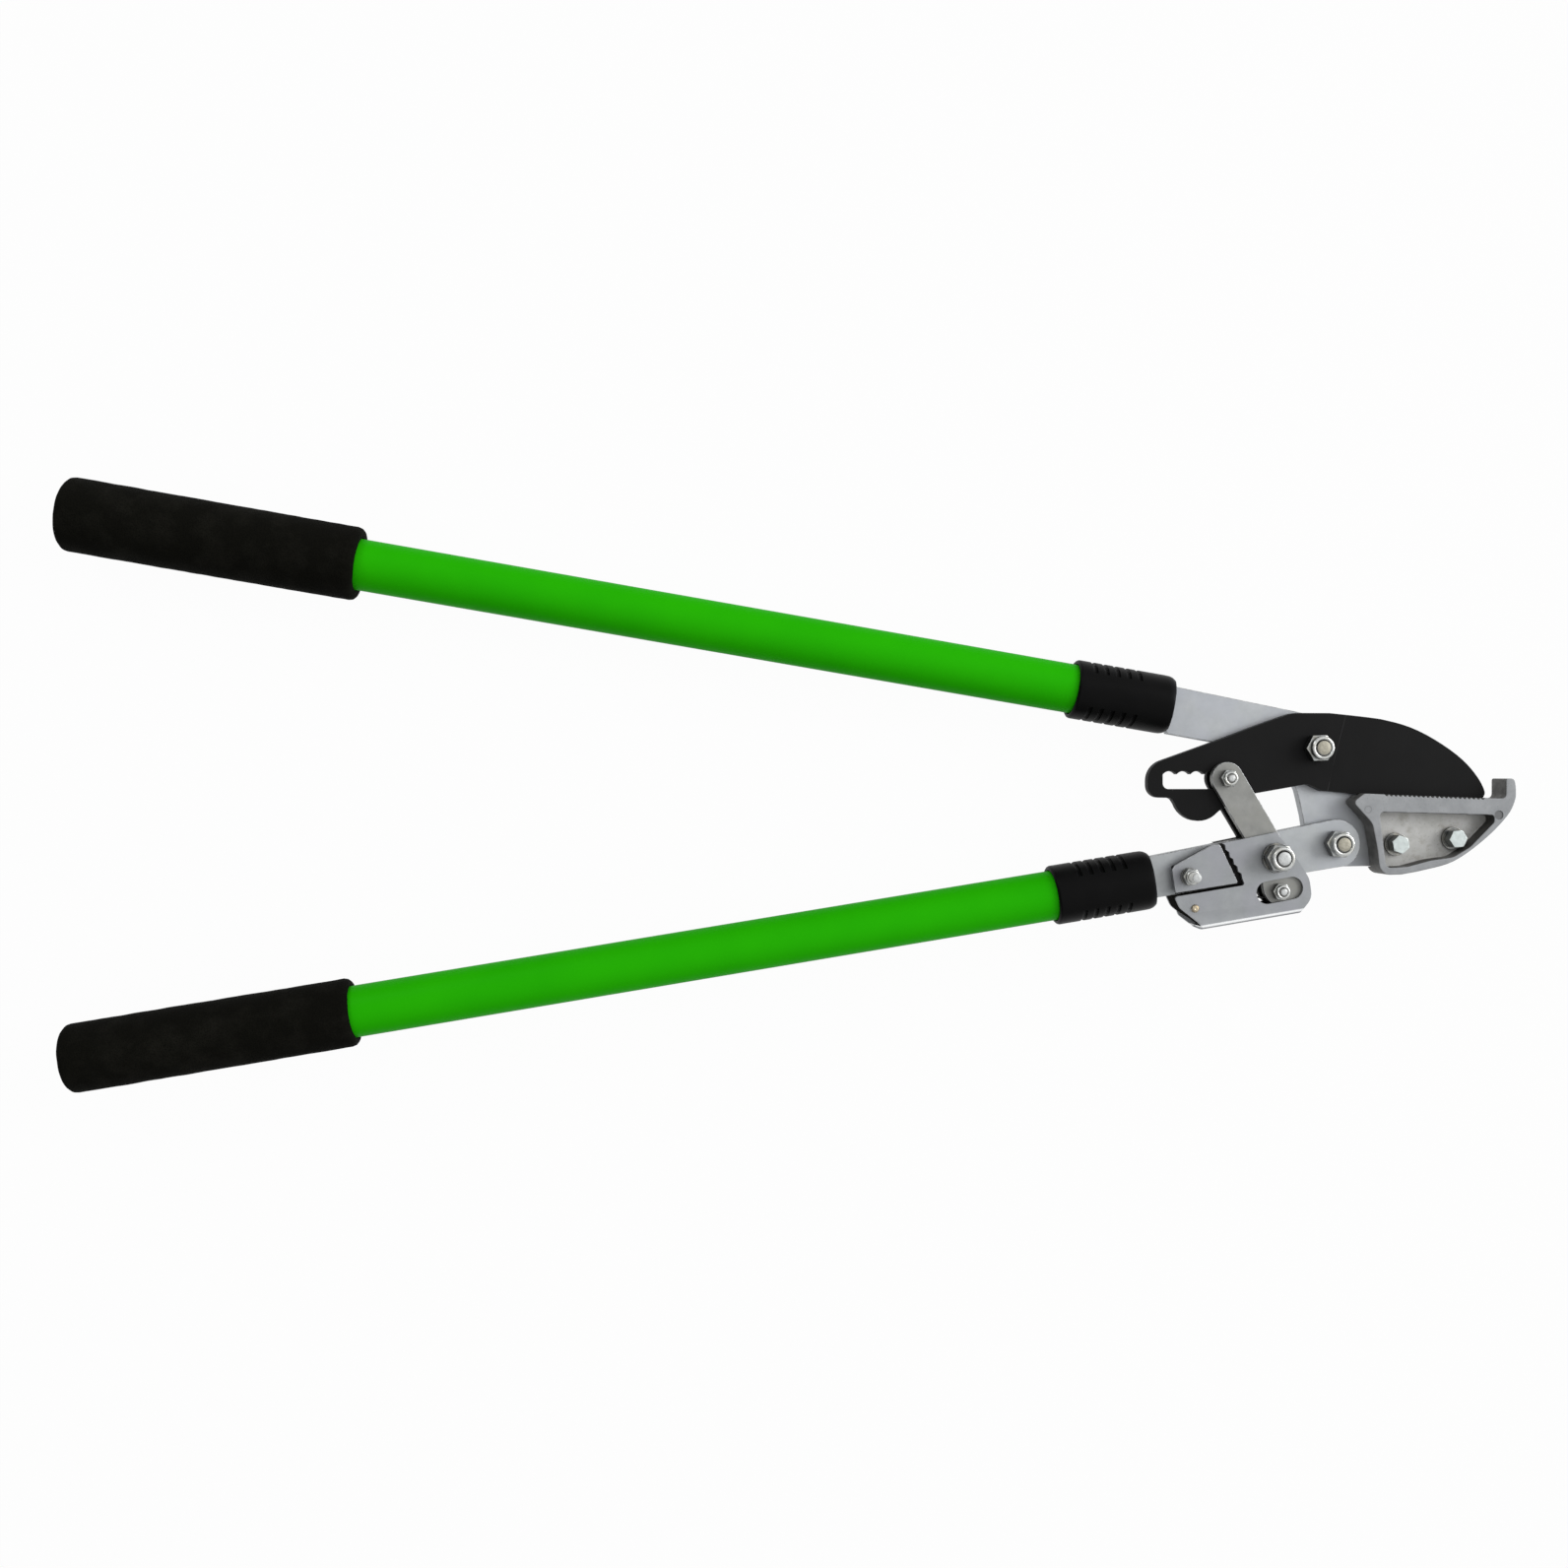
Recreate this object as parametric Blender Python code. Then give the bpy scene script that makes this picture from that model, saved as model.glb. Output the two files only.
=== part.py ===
"""Ratchet anvil lopper: two tubular handles, a coated blade, a cast anvil and the ratchet linkage.

The tool lies flat in the XY plane, jaw towards +X, upper handle towards +Y, in metres.
The origin is on the blade pivot's axis, at the outer face of that bolt's head.
"""
import math

import bpy
import bmesh
from mathutils import Matrix, Vector

# Clearances
SEAT = 0.0003
HOLE_CLEARANCE = 0.0003
CUT_PAST = 0.0100

# Round pieces
TUBE_SIDES = 24
M8_SIDES = 18
SMALL_SIDES = 12
ARC_STEP = math.radians(10)
CURVE_STEPS = 5
BEND_STEPS = 4
FLAT = 0.0

# Sheet and plate thicknesses
ROOT_PLATE = 0.0050
BLADE_PLATE = 0.0040
TANG_PLATE = 0.0045
LINK_PLATE = 0.0030
HOUSING_SHEET = 0.0015
PAWL_SHEET = 0.0015

# M8 pivot bolts with lock nuts
M8_SHANK = 0.0080
M8_FLATS = 0.0130
M8_HEAD = 0.0053
M8_NUT_HEX = 0.0046
M8_NUT_COLLAR = 0.0034
M8_COLLAR_WIDTH = 0.0120
M8_WASHER_WIDTH = 0.0152
M8_WASHER = 0.0016
M8_PROTRUSION = 0.0010

# M6 anvil bolts
M6_SHANK = 0.0060
M6_FLATS = 0.0084
M6_HEAD = 0.0048
M6_NUT = 0.0045
M6_WASHER_WIDTH = 0.0120
M6_WASHER = 0.0016

# M5 link and pawl bolts with lock nuts
M5_SHANK = 0.0050
M5_FLATS = 0.0080
M5_HEAD = 0.0035
M5_NUT_HEX = 0.0031
M5_NUT_COLLAR = 0.0019
M5_COLLAR_WIDTH = 0.0072
M5_WASHER_WIDTH = 0.0090
M5_WASHER = 0.0010
M5_PROTRUSION = 0.0012
PAWL_BOLT_PROTRUSION = 0.0048

# Handles
UPPER_HANDLE_ANGLE = math.radians(-9.39)
LOWER_HANDLE_ANGLE = math.radians(8.85)
UPPER_TUBE_OFFSET = 0.0091
LOWER_TUBE_OFFSET = -0.0024
TUBE_WIDTH = 0.0250
TUBE_WALL = 0.0012
COLLAR_WALL = 0.0025
COLLAR_LENGTH = 0.0522
COLLAR_END_WALL = 0.0035
COLLAR_BEVEL = 0.0020
UPPER_COLLAR_MOUTH = -0.0776
LOWER_COLLAR_MOUTH = -0.0988
UPPER_GRIP_START = -0.4889
LOWER_GRIP_START = -0.4997
UPPER_GRIP_LENGTH = 0.1401
LOWER_GRIP_LENGTH = 0.1358
UPPER_GRIP_FOAM = 0.0055
LOWER_GRIP_FOAM = 0.0042
GRIP_END_WALL = 0.0060
GRIP_MOUTH_ROUND = 0.0025
GRIP_END_ROUND = 0.0030
GRIP_DOME = 0.0010
PLUG_LENGTH = 0.0180
PLUG_FLANGE = 0.0020
TANG_INSERTION = 0.0640
TANG_NECK = COLLAR_END_WALL + SEAT
TANG_BORE_SHARE = 0.75
INSERT_LENGTH = 0.0450
INSERT_SETBACK = 0.0080
TANG_RIVET_WIDTH = 0.0050
TANG_RIVET_SETBACK = 0.0300

# Pivots, measured in the plane of the tool from the blade pivot
HANDLE_PIVOT = (0.0106, -0.0491)
LINK_PIVOT = (-0.0352, -0.0012)
PAWL_PIVOT = (-0.0815, -0.0034)
SPRING_RIVET = (-0.0808, -0.0199)
SPRING_STUD_DISTANCE = 0.0175
RATCHET_PIN = (-0.0486, -0.0154)

# Root plate: upper tang, pivot boss and the finger that carries the anvil
BOSS_RADIUS = 0.0168
UPPER_TANG_BOTTOM = -0.0054
UPPER_TANG_TOP = 0.0191
JAW_BOTTOM = -0.0610
FINGER_TOP = -0.0296
FINGER_TIP = 0.0860
JAW_CORNERS = (
    (-0.0088, -0.0205, 0.010), (-0.0048, -0.0370, 0.030), (-0.0030, JAW_BOTTOM, 0.014),
    (0.0380, JAW_BOTTOM, 0.010), (0.0520, -0.0590, 0.020), (0.0680, -0.0532, 0.020),
    (0.0800, -0.0436, 0.008), (FINGER_TIP, -0.0350, 0.003), (FINGER_TIP, FINGER_TOP, 0.003),
    (0.0255, FINGER_TOP, 0.005), (0.0195, -0.0150, 0.010))

# Blade
NOTCH_COUNT = 5
NOTCH_PITCH = 0.0072
NOTCH_RISE = 0.0036
NOTCH_CUSP_RISE = 0.0019
SLOT_DROP = 0.0055
SLOT_END_ROUND = 0.0030
BLADE_EDGE_WIDTH = 0.0008
GRIND_TOP = 0.0150
GRIND_HEEL = (0.0045, 0.0145)
GRIND_FAR = 0.1000
EDGE_ABOVE_FLOOR = 0.0003
EDGE_START = 0.0270
EDGE_END = 0.0885
TAIL_LOBE = (-0.0623, -0.0238)
TAIL_LOBE_RADIUS = 0.0134
TAIL_CORNERS = ((-0.0893, -0.0090, 0.011), (-0.0890, -0.0252, 0.0085), (-0.0768, -0.0254, 0.003))
BELLY_CORNERS = ((-0.0420, -0.0248, 0.006), (-0.0050, -0.0185, 0.006), (0.0025, -0.0219, 0.004),
                 (0.0070, -0.0223, 0.010), (0.0200, -0.0234, 0.010))
SPINE_POINTS = ((0.0907, -0.0254), (0.0913, -0.0222), (0.0872, -0.0146), (0.0762, -0.0034),
                (0.0543, 0.0095), (0.0331, 0.0152), (0.0068, 0.0180))
BACK_CORNERS = ((-0.0130, 0.0180, 0.015), (-0.0320, 0.0115, 0.030), (-0.0500, 0.0048, 0.030))

# Lower tang
TANG_END_RADIUS = 0.0126
LOWER_TANG_BOTTOM = -0.0120
LOWER_TANG_TOP = 0.0092

# Links
LINK_HEAD_RADIUS = 0.0082
LINK_TAIL_RADIUS = 0.0108
LINK_TAIL_OFFSET = (0.0027, 0.0025)

# Housing and pawl plate
HOUSING_BOTTOM = -0.0312
HOUSING_BEND = 0.0018
HOUSING_SLOT_WIDTH = 0.0115
HOUSING_SLOT_START = (-0.0423, -0.0181)
HOUSING_SLOT_END = (-0.0291, -0.0178)
HOUSING_TEETH = 5
HOUSING_TOOTH_DEPTH = 0.0009
HOUSING_TEETH_TOP = (-0.0618, 0.0104)
HOUSING_TEETH_FOOT = (-0.0540, -0.0094)
HOUSING_CORNERS = (
    (-0.0532, -0.0124, 0.0012), (-0.0902, -0.0124, 0.001), (-0.0884, -0.0185, 0.006),
    (-0.0802, -0.0272, 0.008), (-0.0765, HOUSING_BOTTOM - 0.001, 0.005),
    (-0.0280, HOUSING_BOTTOM - 0.001, 0.006), (-0.0195, -0.0245, 0.008),
    (-0.0194, -0.0145, 0.010), (-0.0246, -0.0030, 0.015), (-0.0330, 0.0116, 0.001))
HOUSING_BLANK_ENDS = (-0.1000, -0.0100)
HOUSING_BLANK_TOP = 0.0200
LIP_CORNERS = (
    (-0.0876, -0.0136, 0), (-0.0850, -0.0239, 0.003), (-0.0780, -0.0311, 0.006),
    (-0.0745, -0.0332, 0.004), (-0.0700, -0.0330, 0.004), (-0.0655, -0.0280, 0.002),
    (-0.0700, -0.0250, 0.002), (-0.0780, -0.0250, 0.002), (-0.0822, -0.0215, 0.002),
    (-0.0842, -0.0150, 0.001))
PAWL_CORNERS = (
    (-0.0896, -0.0106, 0.0006), (-0.0566, -0.0108, 0.0008), (-0.0624, 0.0078, 0.0010),
    (-0.0634, 0.0102, 0.0008), (-0.0672, 0.0104, 0.0020), (-0.0876, 0.0034, 0.0020),
    (-0.0896, 0.0012, 0.0020))
SPRING_RIVET_WIDTH = 0.0036
SPRING_RIVET_HEAD = 0.0046
SPRING_RIVET_HEAD_HEIGHT = 0.0010
SPRING_WIRE = 0.0011
SPRING_COIL_WIDTH = 0.0062
SPRING_TURNS = 14

# Anvil
ANVIL_BEHIND_PLATE = 0.0030
ANVIL_WEB = 0.0022
ANVIL_RIM = 0.0080
CHANNEL_CLEARANCE = 0.0005
CHANNEL_DEPTH = 0.0012
CHANNEL_SETBACK = 0.0045
LIP_START = (0.0224, -0.0232)
LIP_END = (0.0936, -0.0258)
LIP_TEETH = 22
LIP_TOOTH_PITCH = 0.00245
LIP_TOOTH_DEPTH = 0.0011
LIP_FIRST_TOOTH = 0.0330
HOOK_TOP = -0.0156
HOOK_FACE = 0.0984
ANVIL_BOLT_REAR = (0.0426, -0.0494)
ANVIL_BOLT_FRONT = (0.0734, -0.0466)
ANVIL_BELLY = ((0.0420, -0.0647), (0.0541, -0.0625), (0.0703, -0.0580), (0.0866, -0.0470),
               (0.0990, -0.0348), (0.1034, -0.0260), (0.1035, -0.0190))
ANVIL_HOOK_CORNERS = (
    (0.1028, HOOK_TOP, 0.002), (HOOK_FACE, HOOK_TOP, 0.0007), (HOOK_FACE, LIP_END[1], 0.003))
ANVIL_REAR_CORNERS = (
    (0.0165, -0.0276, 0.002), (0.0268, -0.0385, 0.008), (0.0295, -0.0520, 0.020), (0.0310, -0.0649, 0.006))
POCKET_CORNERS = (
    (0.0305, -0.0326, 0.002), (0.0341, -0.0613, 0.003), (0.0450, -0.0608, 0.010),
    (0.0580, -0.0575, 0.010), (0.0700, -0.0560, 0.008), (0.0790, -0.0508, 0.008),
    (0.0920, -0.0380, 0.002), (0.0920, -0.0343, 0.002))

# Turns of the nuts and bolt heads, as they were tightened
BLADE_PIVOT_TURN = 0.05
HANDLE_PIVOT_TURN = 0.45
LINK_PIVOT_TURN = 0.35
PAWL_NUT_TURN = 0.25
RATCHET_PIN_TURN = 0.3
SPRING_STUD_TURN = 0.1
ANVIL_BOLT_TURNS = (0.2, 0.6)

# Heights through the stack, from the outer face of the pivot bolt's head
ROOT_BACK = M8_HEAD + SEAT
ROOT_FRONT = ROOT_BACK + ROOT_PLATE
PIVOT_LAYER_BACK = ROOT_FRONT + SEAT
BLADE_FRONT = PIVOT_LAYER_BACK + BLADE_PLATE
TANG_FRONT = PIVOT_LAYER_BACK + TANG_PLATE
FRONT_LINK_BACK = max(BLADE_FRONT, TANG_FRONT) + SEAT
FRONT_LINK_FRONT = FRONT_LINK_BACK + LINK_PLATE
REAR_LINK_FRONT = PIVOT_LAYER_BACK - SEAT
REAR_LINK_BACK = REAR_LINK_FRONT - LINK_PLATE
CHEEK_BACK = FRONT_LINK_FRONT + SEAT
CHEEK_FRONT = CHEEK_BACK + HOUSING_SHEET
REAR_CHEEK_FRONT = REAR_LINK_BACK - SEAT
REAR_CHEEK_BACK = REAR_CHEEK_FRONT - HOUSING_SHEET
PAWL_FRONT = CHEEK_BACK + PAWL_SHEET
UPPER_TUBE_HEIGHT = (ROOT_BACK + ROOT_FRONT) / 2
LOWER_TUBE_HEIGHT = (PIVOT_LAYER_BACK + TANG_FRONT) / 2
ANVIL_BACK = ROOT_FRONT - ANVIL_BEHIND_PLATE
ANVIL_SEAT = ROOT_FRONT + SEAT
ANVIL_FLOOR = ANVIL_SEAT + ANVIL_WEB
ANVIL_FRONT = ANVIL_FLOOR + ANVIL_RIM
TUBE_BORE = TUBE_WIDTH / 2 - TUBE_WALL
COLLAR_WIDTH = TUBE_WIDTH + 2 * COLLAR_WALL
TANG_INNER_WIDTH = 2 * TUBE_BORE * TANG_BORE_SHARE


# Materials

def paint(name, colour, roughness, metallic):
    """A Principled material in one plain colour."""
    material = bpy.data.materials.new(name)
    material.use_nodes = True
    shader = material.node_tree.nodes["Principled BSDF"]
    shader.inputs["Base Color"].default_value = (*colour, 1.0)
    shader.inputs["Roughness"].default_value = roughness
    shader.inputs["Metallic"].default_value = metallic
    material.diffuse_color = (*colour, 1.0)
    return material


FINISHES = {
    "green_paint": ((0.035, 0.42, 0.01), 0.32, 0.0),
    "black_foam": ((0.012, 0.011, 0.009), 0.9, 0.0),
    "black_plastic": ((0.012, 0.013, 0.016), 0.42, 0.0),
    "grey_nylon": ((0.25, 0.25, 0.24), 0.5, 0.0),
    "zinc_plate": ((0.55, 0.57, 0.58), 0.38, 1.0),
    "bright_zinc": ((0.72, 0.74, 0.76), 0.22, 1.0),
    "cast_alloy": ((0.60, 0.59, 0.57), 0.45, 1.0),
    "black_coating": ((0.008, 0.009, 0.010), 0.4, 0.2),
    "brass": ((0.62, 0.42, 0.14), 0.3, 1.0),
    "spring_steel": ((0.38, 0.38, 0.40), 0.3, 1.0),
}


# Outlines in the plane

def turned_point(point, angle):
    """The point turned about the origin."""
    return (point[0] * math.cos(angle) - point[1] * math.sin(angle),
            point[0] * math.sin(angle) + point[1] * math.cos(angle))


def from_upper(x, y):
    """A point of the upper handle's frame, in the plane of the tool."""
    return turned_point((x, y), UPPER_HANDLE_ANGLE)


def from_lower(x, y):
    """A point of the lower handle's frame, in the plane of the tool."""
    turned = turned_point((x, y), LOWER_HANDLE_ANGLE)
    return (turned[0] + HANDLE_PIVOT[0], turned[1] + HANDLE_PIVOT[1])


def arc(centre, radius, start, end):
    """Points along an arc, both ends included."""
    steps = max(1, math.ceil(abs(end - start) / ARC_STEP))
    return [(centre[0] + radius * math.cos(start + (end - start) * i / steps),
             centre[1] + radius * math.sin(start + (end - start) * i / steps))
            for i in range(steps + 1)]


def circle(centre, radius, sides=SMALL_SIDES):
    """A closed circle."""
    return [(centre[0] + radius * math.cos(math.tau * i / sides),
             centre[1] + radius * math.sin(math.tau * i / sides)) for i in range(sides)]


def rounded(corners):
    """An outline from (x, y, radius) corners, each rounded by its radius."""
    points = []
    for i, (x, y, radius) in enumerate(corners):
        here = Vector((x, y))
        before = Vector(corners[i - 1][:2]) - here
        after = Vector(corners[(i + 1) % len(corners)][:2]) - here
        half = before.angle(after) / 2
        reach = radius / math.tan(half)
        if radius == 0 or half > math.radians(89.5):
            points.append((x, y))
            continue
        reach = min(reach, 0.49 * before.length, 0.49 * after.length)
        radius = reach * math.tan(half)
        centre = here + (before.normalized() + after.normalized()).normalized() * radius / math.sin(half)
        first = here + before.normalized() * reach - centre
        last = here + after.normalized() * reach - centre
        start = math.atan2(first.y, first.x)
        sweep = (math.atan2(last.y, last.x) - start + math.pi) % math.tau - math.pi
        points += arc(centre, radius, start, start + sweep)
    return points


def plain(points):
    """Corners that stay as they are."""
    return [(x, y, 0) for x, y in points]


def smooth(points, steps):
    """A Catmull-Rom curve through the points, its first and last point included."""
    ends = [Vector(points[0]) * 2 - Vector(points[1]), Vector(points[-1]) * 2 - Vector(points[-2])]
    path = [ends[0], *map(Vector, points), ends[1]]
    curve = []
    for a, b, c, d in zip(path, path[1:], path[2:], path[3:]):
        for i in range(steps):
            t = i / steps
            curve.append(tuple(0.5 * (2 * b + (c - a) * t + (2 * a - 5 * b + 4 * c - d) * t ** 2
                                      + (3 * b - a - 3 * c + d) * t ** 3)))
    return curve + [tuple(points[-1])]


def grown(points, distance):
    """A counter-clockwise outline moved outwards by the distance."""
    result = []
    for i, point in enumerate(points):
        here = Vector(point)
        along_in = (here - Vector(points[i - 1])).normalized()
        along_out = (Vector(points[(i + 1) % len(points)]) - here).normalized()
        normal = Vector((along_in.y + along_out.y, -along_in.x - along_out.x)).normalized()
        miter = distance / max(0.5, normal.dot(Vector((along_out.y, -along_out.x))))
        result.append(tuple(here + normal * miter))
    return result


def tangent(first, second, side):
    """The ends of two circles' common outer tangent, on the left (1) or right (-1) of the way along."""
    way = Vector(second[0]) - Vector(first[0])
    lean = math.acos((first[1] - second[1]) / way.length)
    angle = math.atan2(way.y, way.x) + side * lean
    normal = Vector((math.cos(angle), math.sin(angle)))
    return Vector(first[0]) + normal * first[1], Vector(second[0]) + normal * second[1]


def crossing(a, b, c, d):
    """Where the line through a and b meets the line through c and d."""
    along = b - a
    across = d - c
    share = (c - a).cross(across) / along.cross(across)
    return tuple(a + along * share)


def strap(head, middle, tail):
    """A strap round three (centre, radius) circles, bent towards its right at the middle one."""
    right_upper = tangent(head, middle, -1)
    right_lower = tangent(middle, tail, -1)
    left_upper = tangent(head, middle, 1)
    left_lower = tangent(middle, tail, 1)
    points = [crossing(right_upper[0], right_upper[1], right_lower[0], right_lower[1])]
    for (centre, radius), start, end in ((tail, right_lower[1], left_lower[1]),
                                         (middle, left_lower[0], left_upper[1]),
                                         (head, left_upper[0], right_upper[0])):
        first = math.atan2(start.y - centre[1], start.x - centre[0])
        last = math.atan2(end.y - centre[1], end.x - centre[0])
        points += arc(centre, radius, first, first + (last - first) % math.tau)
    return points


def obround(start, end, width):
    """A slot outline from one end's centre to the other's."""
    way = Vector(end) - Vector(start)
    angle = math.atan2(way.y, way.x)
    return (arc(end, width / 2, angle - math.pi / 2, angle + math.pi / 2)
            + arc(start, width / 2, angle + math.pi / 2, angle + 3 * math.pi / 2))


# Solids

def finish_object(name, mesh, finish, parent, smooth_angle):
    """An object of the mesh, with its own material, in its parent's frame."""
    if smooth_angle:
        mesh.shade_smooth()
        mesh.set_sharp_from_angle(angle=smooth_angle)
    mesh.materials.append(paint(name + "_finish", *FINISHES[finish]))
    piece = bpy.data.objects.new(name, mesh)
    bpy.context.collection.objects.link(piece)
    piece.parent = parent
    return piece


def plate(name, outline, back, front, finish, parent, holes=(), smooth_angle=math.radians(40)):
    """A flat plate: the outline from its back to its front height, less its holes."""
    builder = bmesh.new()
    for loop in (outline, *holes):
        row = [builder.verts.new((x, y, back)) for x, y in loop]
        for i, vertex in enumerate(row):
            builder.edges.new((vertex, row[(i + 1) % len(row)]))
    bmesh.ops.triangle_fill(builder, use_beauty=True, edges=builder.edges, normal=(0, 0, 1))
    raised = bmesh.ops.extrude_face_region(builder, geom=builder.faces[:])["geom"]
    bmesh.ops.translate(builder, verts=[v for v in raised if isinstance(v, bmesh.types.BMVert)],
                        vec=(0, 0, front - back))
    return solid(name, builder, finish, parent, smooth_angle)


def solid(name, builder, finish, parent, smooth_angle):
    """An object of the bmesh, its faces turned outwards."""
    bmesh.ops.recalc_face_normals(builder, faces=builder.faces)
    mesh = bpy.data.meshes.new(name)
    builder.to_mesh(mesh)
    builder.free()
    return finish_object(name, mesh, finish, parent, smooth_angle)


def loft(name, rings, finish, parent, hollow, smooth_angle=math.radians(35)):
    """A solid through rings of equal counts: capped at its ends, or closed on itself where hollow."""
    builder = bmesh.new()
    rows = [[builder.verts.new(point) for point in ring] for ring in rings]
    pairs = list(zip(rows, rows[1:]))
    if hollow:
        pairs.append((rows[-1], rows[0]))
    else:
        builder.faces.new(rows[0])
        builder.faces.new(rows[-1])
    for near, far in pairs:
        for i in range(len(near)):
            j = (i + 1) % len(near)
            builder.faces.new((near[i], near[j], far[j], far[i]))
    return solid(name, builder, finish, parent, smooth_angle)


def along_x(profile, sides, y, z):
    """Rings about a handle's axis, from (x, radius) pairs."""
    return [[(x, y + r * math.cos(math.tau * i / sides), z + r * math.sin(math.tau * i / sides))
             for i in range(sides)] for x, r in profile]


def along_z(profile, centre, sides):
    """Rings about an upright axis, from (z, radius) pairs."""
    return [[(x, y, z) for x, y in circle(centre, r, sides)] for z, r in profile]


def hex_ring(centre, flats, limit, z, turn, sides):
    """A ring round a hexagon, its corners cut at the limiting radius."""
    ring = []
    for i in range(sides):
        angle = math.tau * i / sides
        offset = (angle + math.pi / 6) % (math.pi / 3) - math.pi / 6
        radius = min(flats / 2 / math.cos(offset), limit)
        ring.append((centre[0] + radius * math.cos(angle + turn),
                     centre[1] + radius * math.sin(angle + turn), z))
    return ring


def subtract(piece, cutter):
    """Cuts the cutter out of the piece."""
    boolean = piece.modifiers.new("cut_" + cutter.name, "BOOLEAN")
    boolean.operation = "DIFFERENCE"
    boolean.solver = "EXACT"
    boolean.object = cutter
    hide_tool(cutter)


def hide_tool(tool):
    """Marks an object as a tool of the model, and not a piece of it."""
    tool.hide_render = True
    tool.display_type = "WIRE"


# Fasteners

def hex_bolt(name, centre, back, tip, shank, flats, head, parent, sides, turn=0.0):
    """A hex bolt with its head at the back and its shank up to the tip."""
    corner = flats / math.sqrt(3)
    chamfer = (corner - flats / 2) * 1.2
    ease = shank * 0.08
    rings = [hex_ring(centre, flats, flats / 2 - chamfer / 4, back, turn, sides),
             hex_ring(centre, flats, corner, back + chamfer * 0.6, turn, sides),
             hex_ring(centre, flats, corner, back + head, turn, sides)]
    rings += along_z([(back + head, shank / 2), (tip - ease, shank / 2), (tip, shank / 2 - ease)],
                     centre, sides)
    return loft(name, rings, "bright_zinc", parent, False)


def front_hex_bolt(name, centre, seat, back, shank, flats, head, parent, turn):
    """A hex bolt with its head in front of the seat and its shank down to the back."""
    corner = flats / math.sqrt(3)
    chamfer = (corner - flats / 2) * 1.2
    ease = shank * 0.08
    rings = along_z([(back, shank / 2 - ease), (back + ease, shank / 2), (seat, shank / 2)],
                    centre, SMALL_SIDES)
    rings += [hex_ring(centre, flats, corner, seat, turn, SMALL_SIDES),
              hex_ring(centre, flats, corner, seat + head - chamfer * 0.6, turn, SMALL_SIDES),
              hex_ring(centre, flats, flats / 2 - chamfer / 4, seat + head, turn, SMALL_SIDES)]
    return loft(name, rings, "bright_zinc", parent, False)


def lock_nut(name, centre, back, shank, flats, hex_height, collar_height, collar_width, parent, sides, turn):
    """A hex nut with the round collar that holds its locking ring."""
    corner = flats / math.sqrt(3)
    chamfer = (corner - flats / 2) * 0.6
    bore = shank / 2 + HOLE_CLEARANCE
    shoulder = back + hex_height
    top = shoulder + collar_height
    ease = collar_height / 3
    rings = [hex_ring(centre, flats, corner, back, turn, sides),
             hex_ring(centre, flats, corner, shoulder - chamfer, turn, sides),
             hex_ring(centre, flats, flats / 2, shoulder, turn, sides)]
    rings += along_z([(shoulder + ease / 2, collar_width / 2), (top - ease, collar_width / 2),
                      (top, collar_width / 2 - ease), (top, bore), (back, bore)], centre, sides)
    return loft(name, rings, "bright_zinc", parent, True)


def plain_nut(name, centre, front, shank, flats, height, parent, turn):
    """A plain hex nut under its front height."""
    corner = flats / math.sqrt(3)
    chamfer = (corner - flats / 2) * 0.6
    bore = shank / 2 + HOLE_CLEARANCE
    back = front - height
    rings = [hex_ring(centre, flats, flats / 2, back, turn, SMALL_SIDES),
             hex_ring(centre, flats, corner, back + chamfer, turn, SMALL_SIDES),
             hex_ring(centre, flats, corner, front, turn, SMALL_SIDES)]
    rings += along_z([(front, bore), (back, bore)], centre, SMALL_SIDES)
    return loft(name, rings, "bright_zinc", parent, True)


def washer(name, centre, back, thickness, width, shank, parent, sides=SMALL_SIDES):
    """A flat washer."""
    bore = shank / 2 + HOLE_CLEARANCE
    rings = along_z([(back, bore), (back, width / 2), (back + thickness, width / 2),
                     (back + thickness, bore)], centre, sides)
    return loft(name, rings, "bright_zinc", parent, True)


def m8_pivot(name, centre, head_back, nut_back, parent, turn):
    """An M8 bolt through the stack with its lock nut in front."""
    tip = nut_back + M8_NUT_HEX + M8_NUT_COLLAR + M8_PROTRUSION
    hex_bolt(name + "_bolt", centre, head_back, tip, M8_SHANK, M8_FLATS, M8_HEAD, parent, M8_SIDES)
    lock_nut(name + "_nut", centre, nut_back, M8_SHANK, M8_FLATS, M8_NUT_HEX, M8_NUT_COLLAR,
             M8_COLLAR_WIDTH, parent, M8_SIDES, turn)


def m5_pivot(name, centre, head_front, nut_back, protrusion, parent, turn):
    """An M5 bolt through the stack with its lock nut in front."""
    tip = nut_back + M5_NUT_HEX + M5_NUT_COLLAR + protrusion
    hex_bolt(name + "_bolt", centre, head_front - M5_HEAD, tip, M5_SHANK, M5_FLATS, M5_HEAD, parent,
             SMALL_SIDES)
    lock_nut(name + "_nut", centre, nut_back, M5_SHANK, M5_FLATS, M5_NUT_HEX, M5_NUT_COLLAR,
             M5_COLLAR_WIDTH, parent, SMALL_SIDES, turn)


# Handles

def tube(name, start, end, y, z, parent):
    """A painted steel tube, open at both ends."""
    outer = TUBE_WIDTH / 2
    profile = [(start, TUBE_BORE), (start, outer), (end, outer), (end, TUBE_BORE)]
    return loft(name, along_x(profile, TUBE_SIDES, y, z), "green_paint", parent, True)


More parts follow.
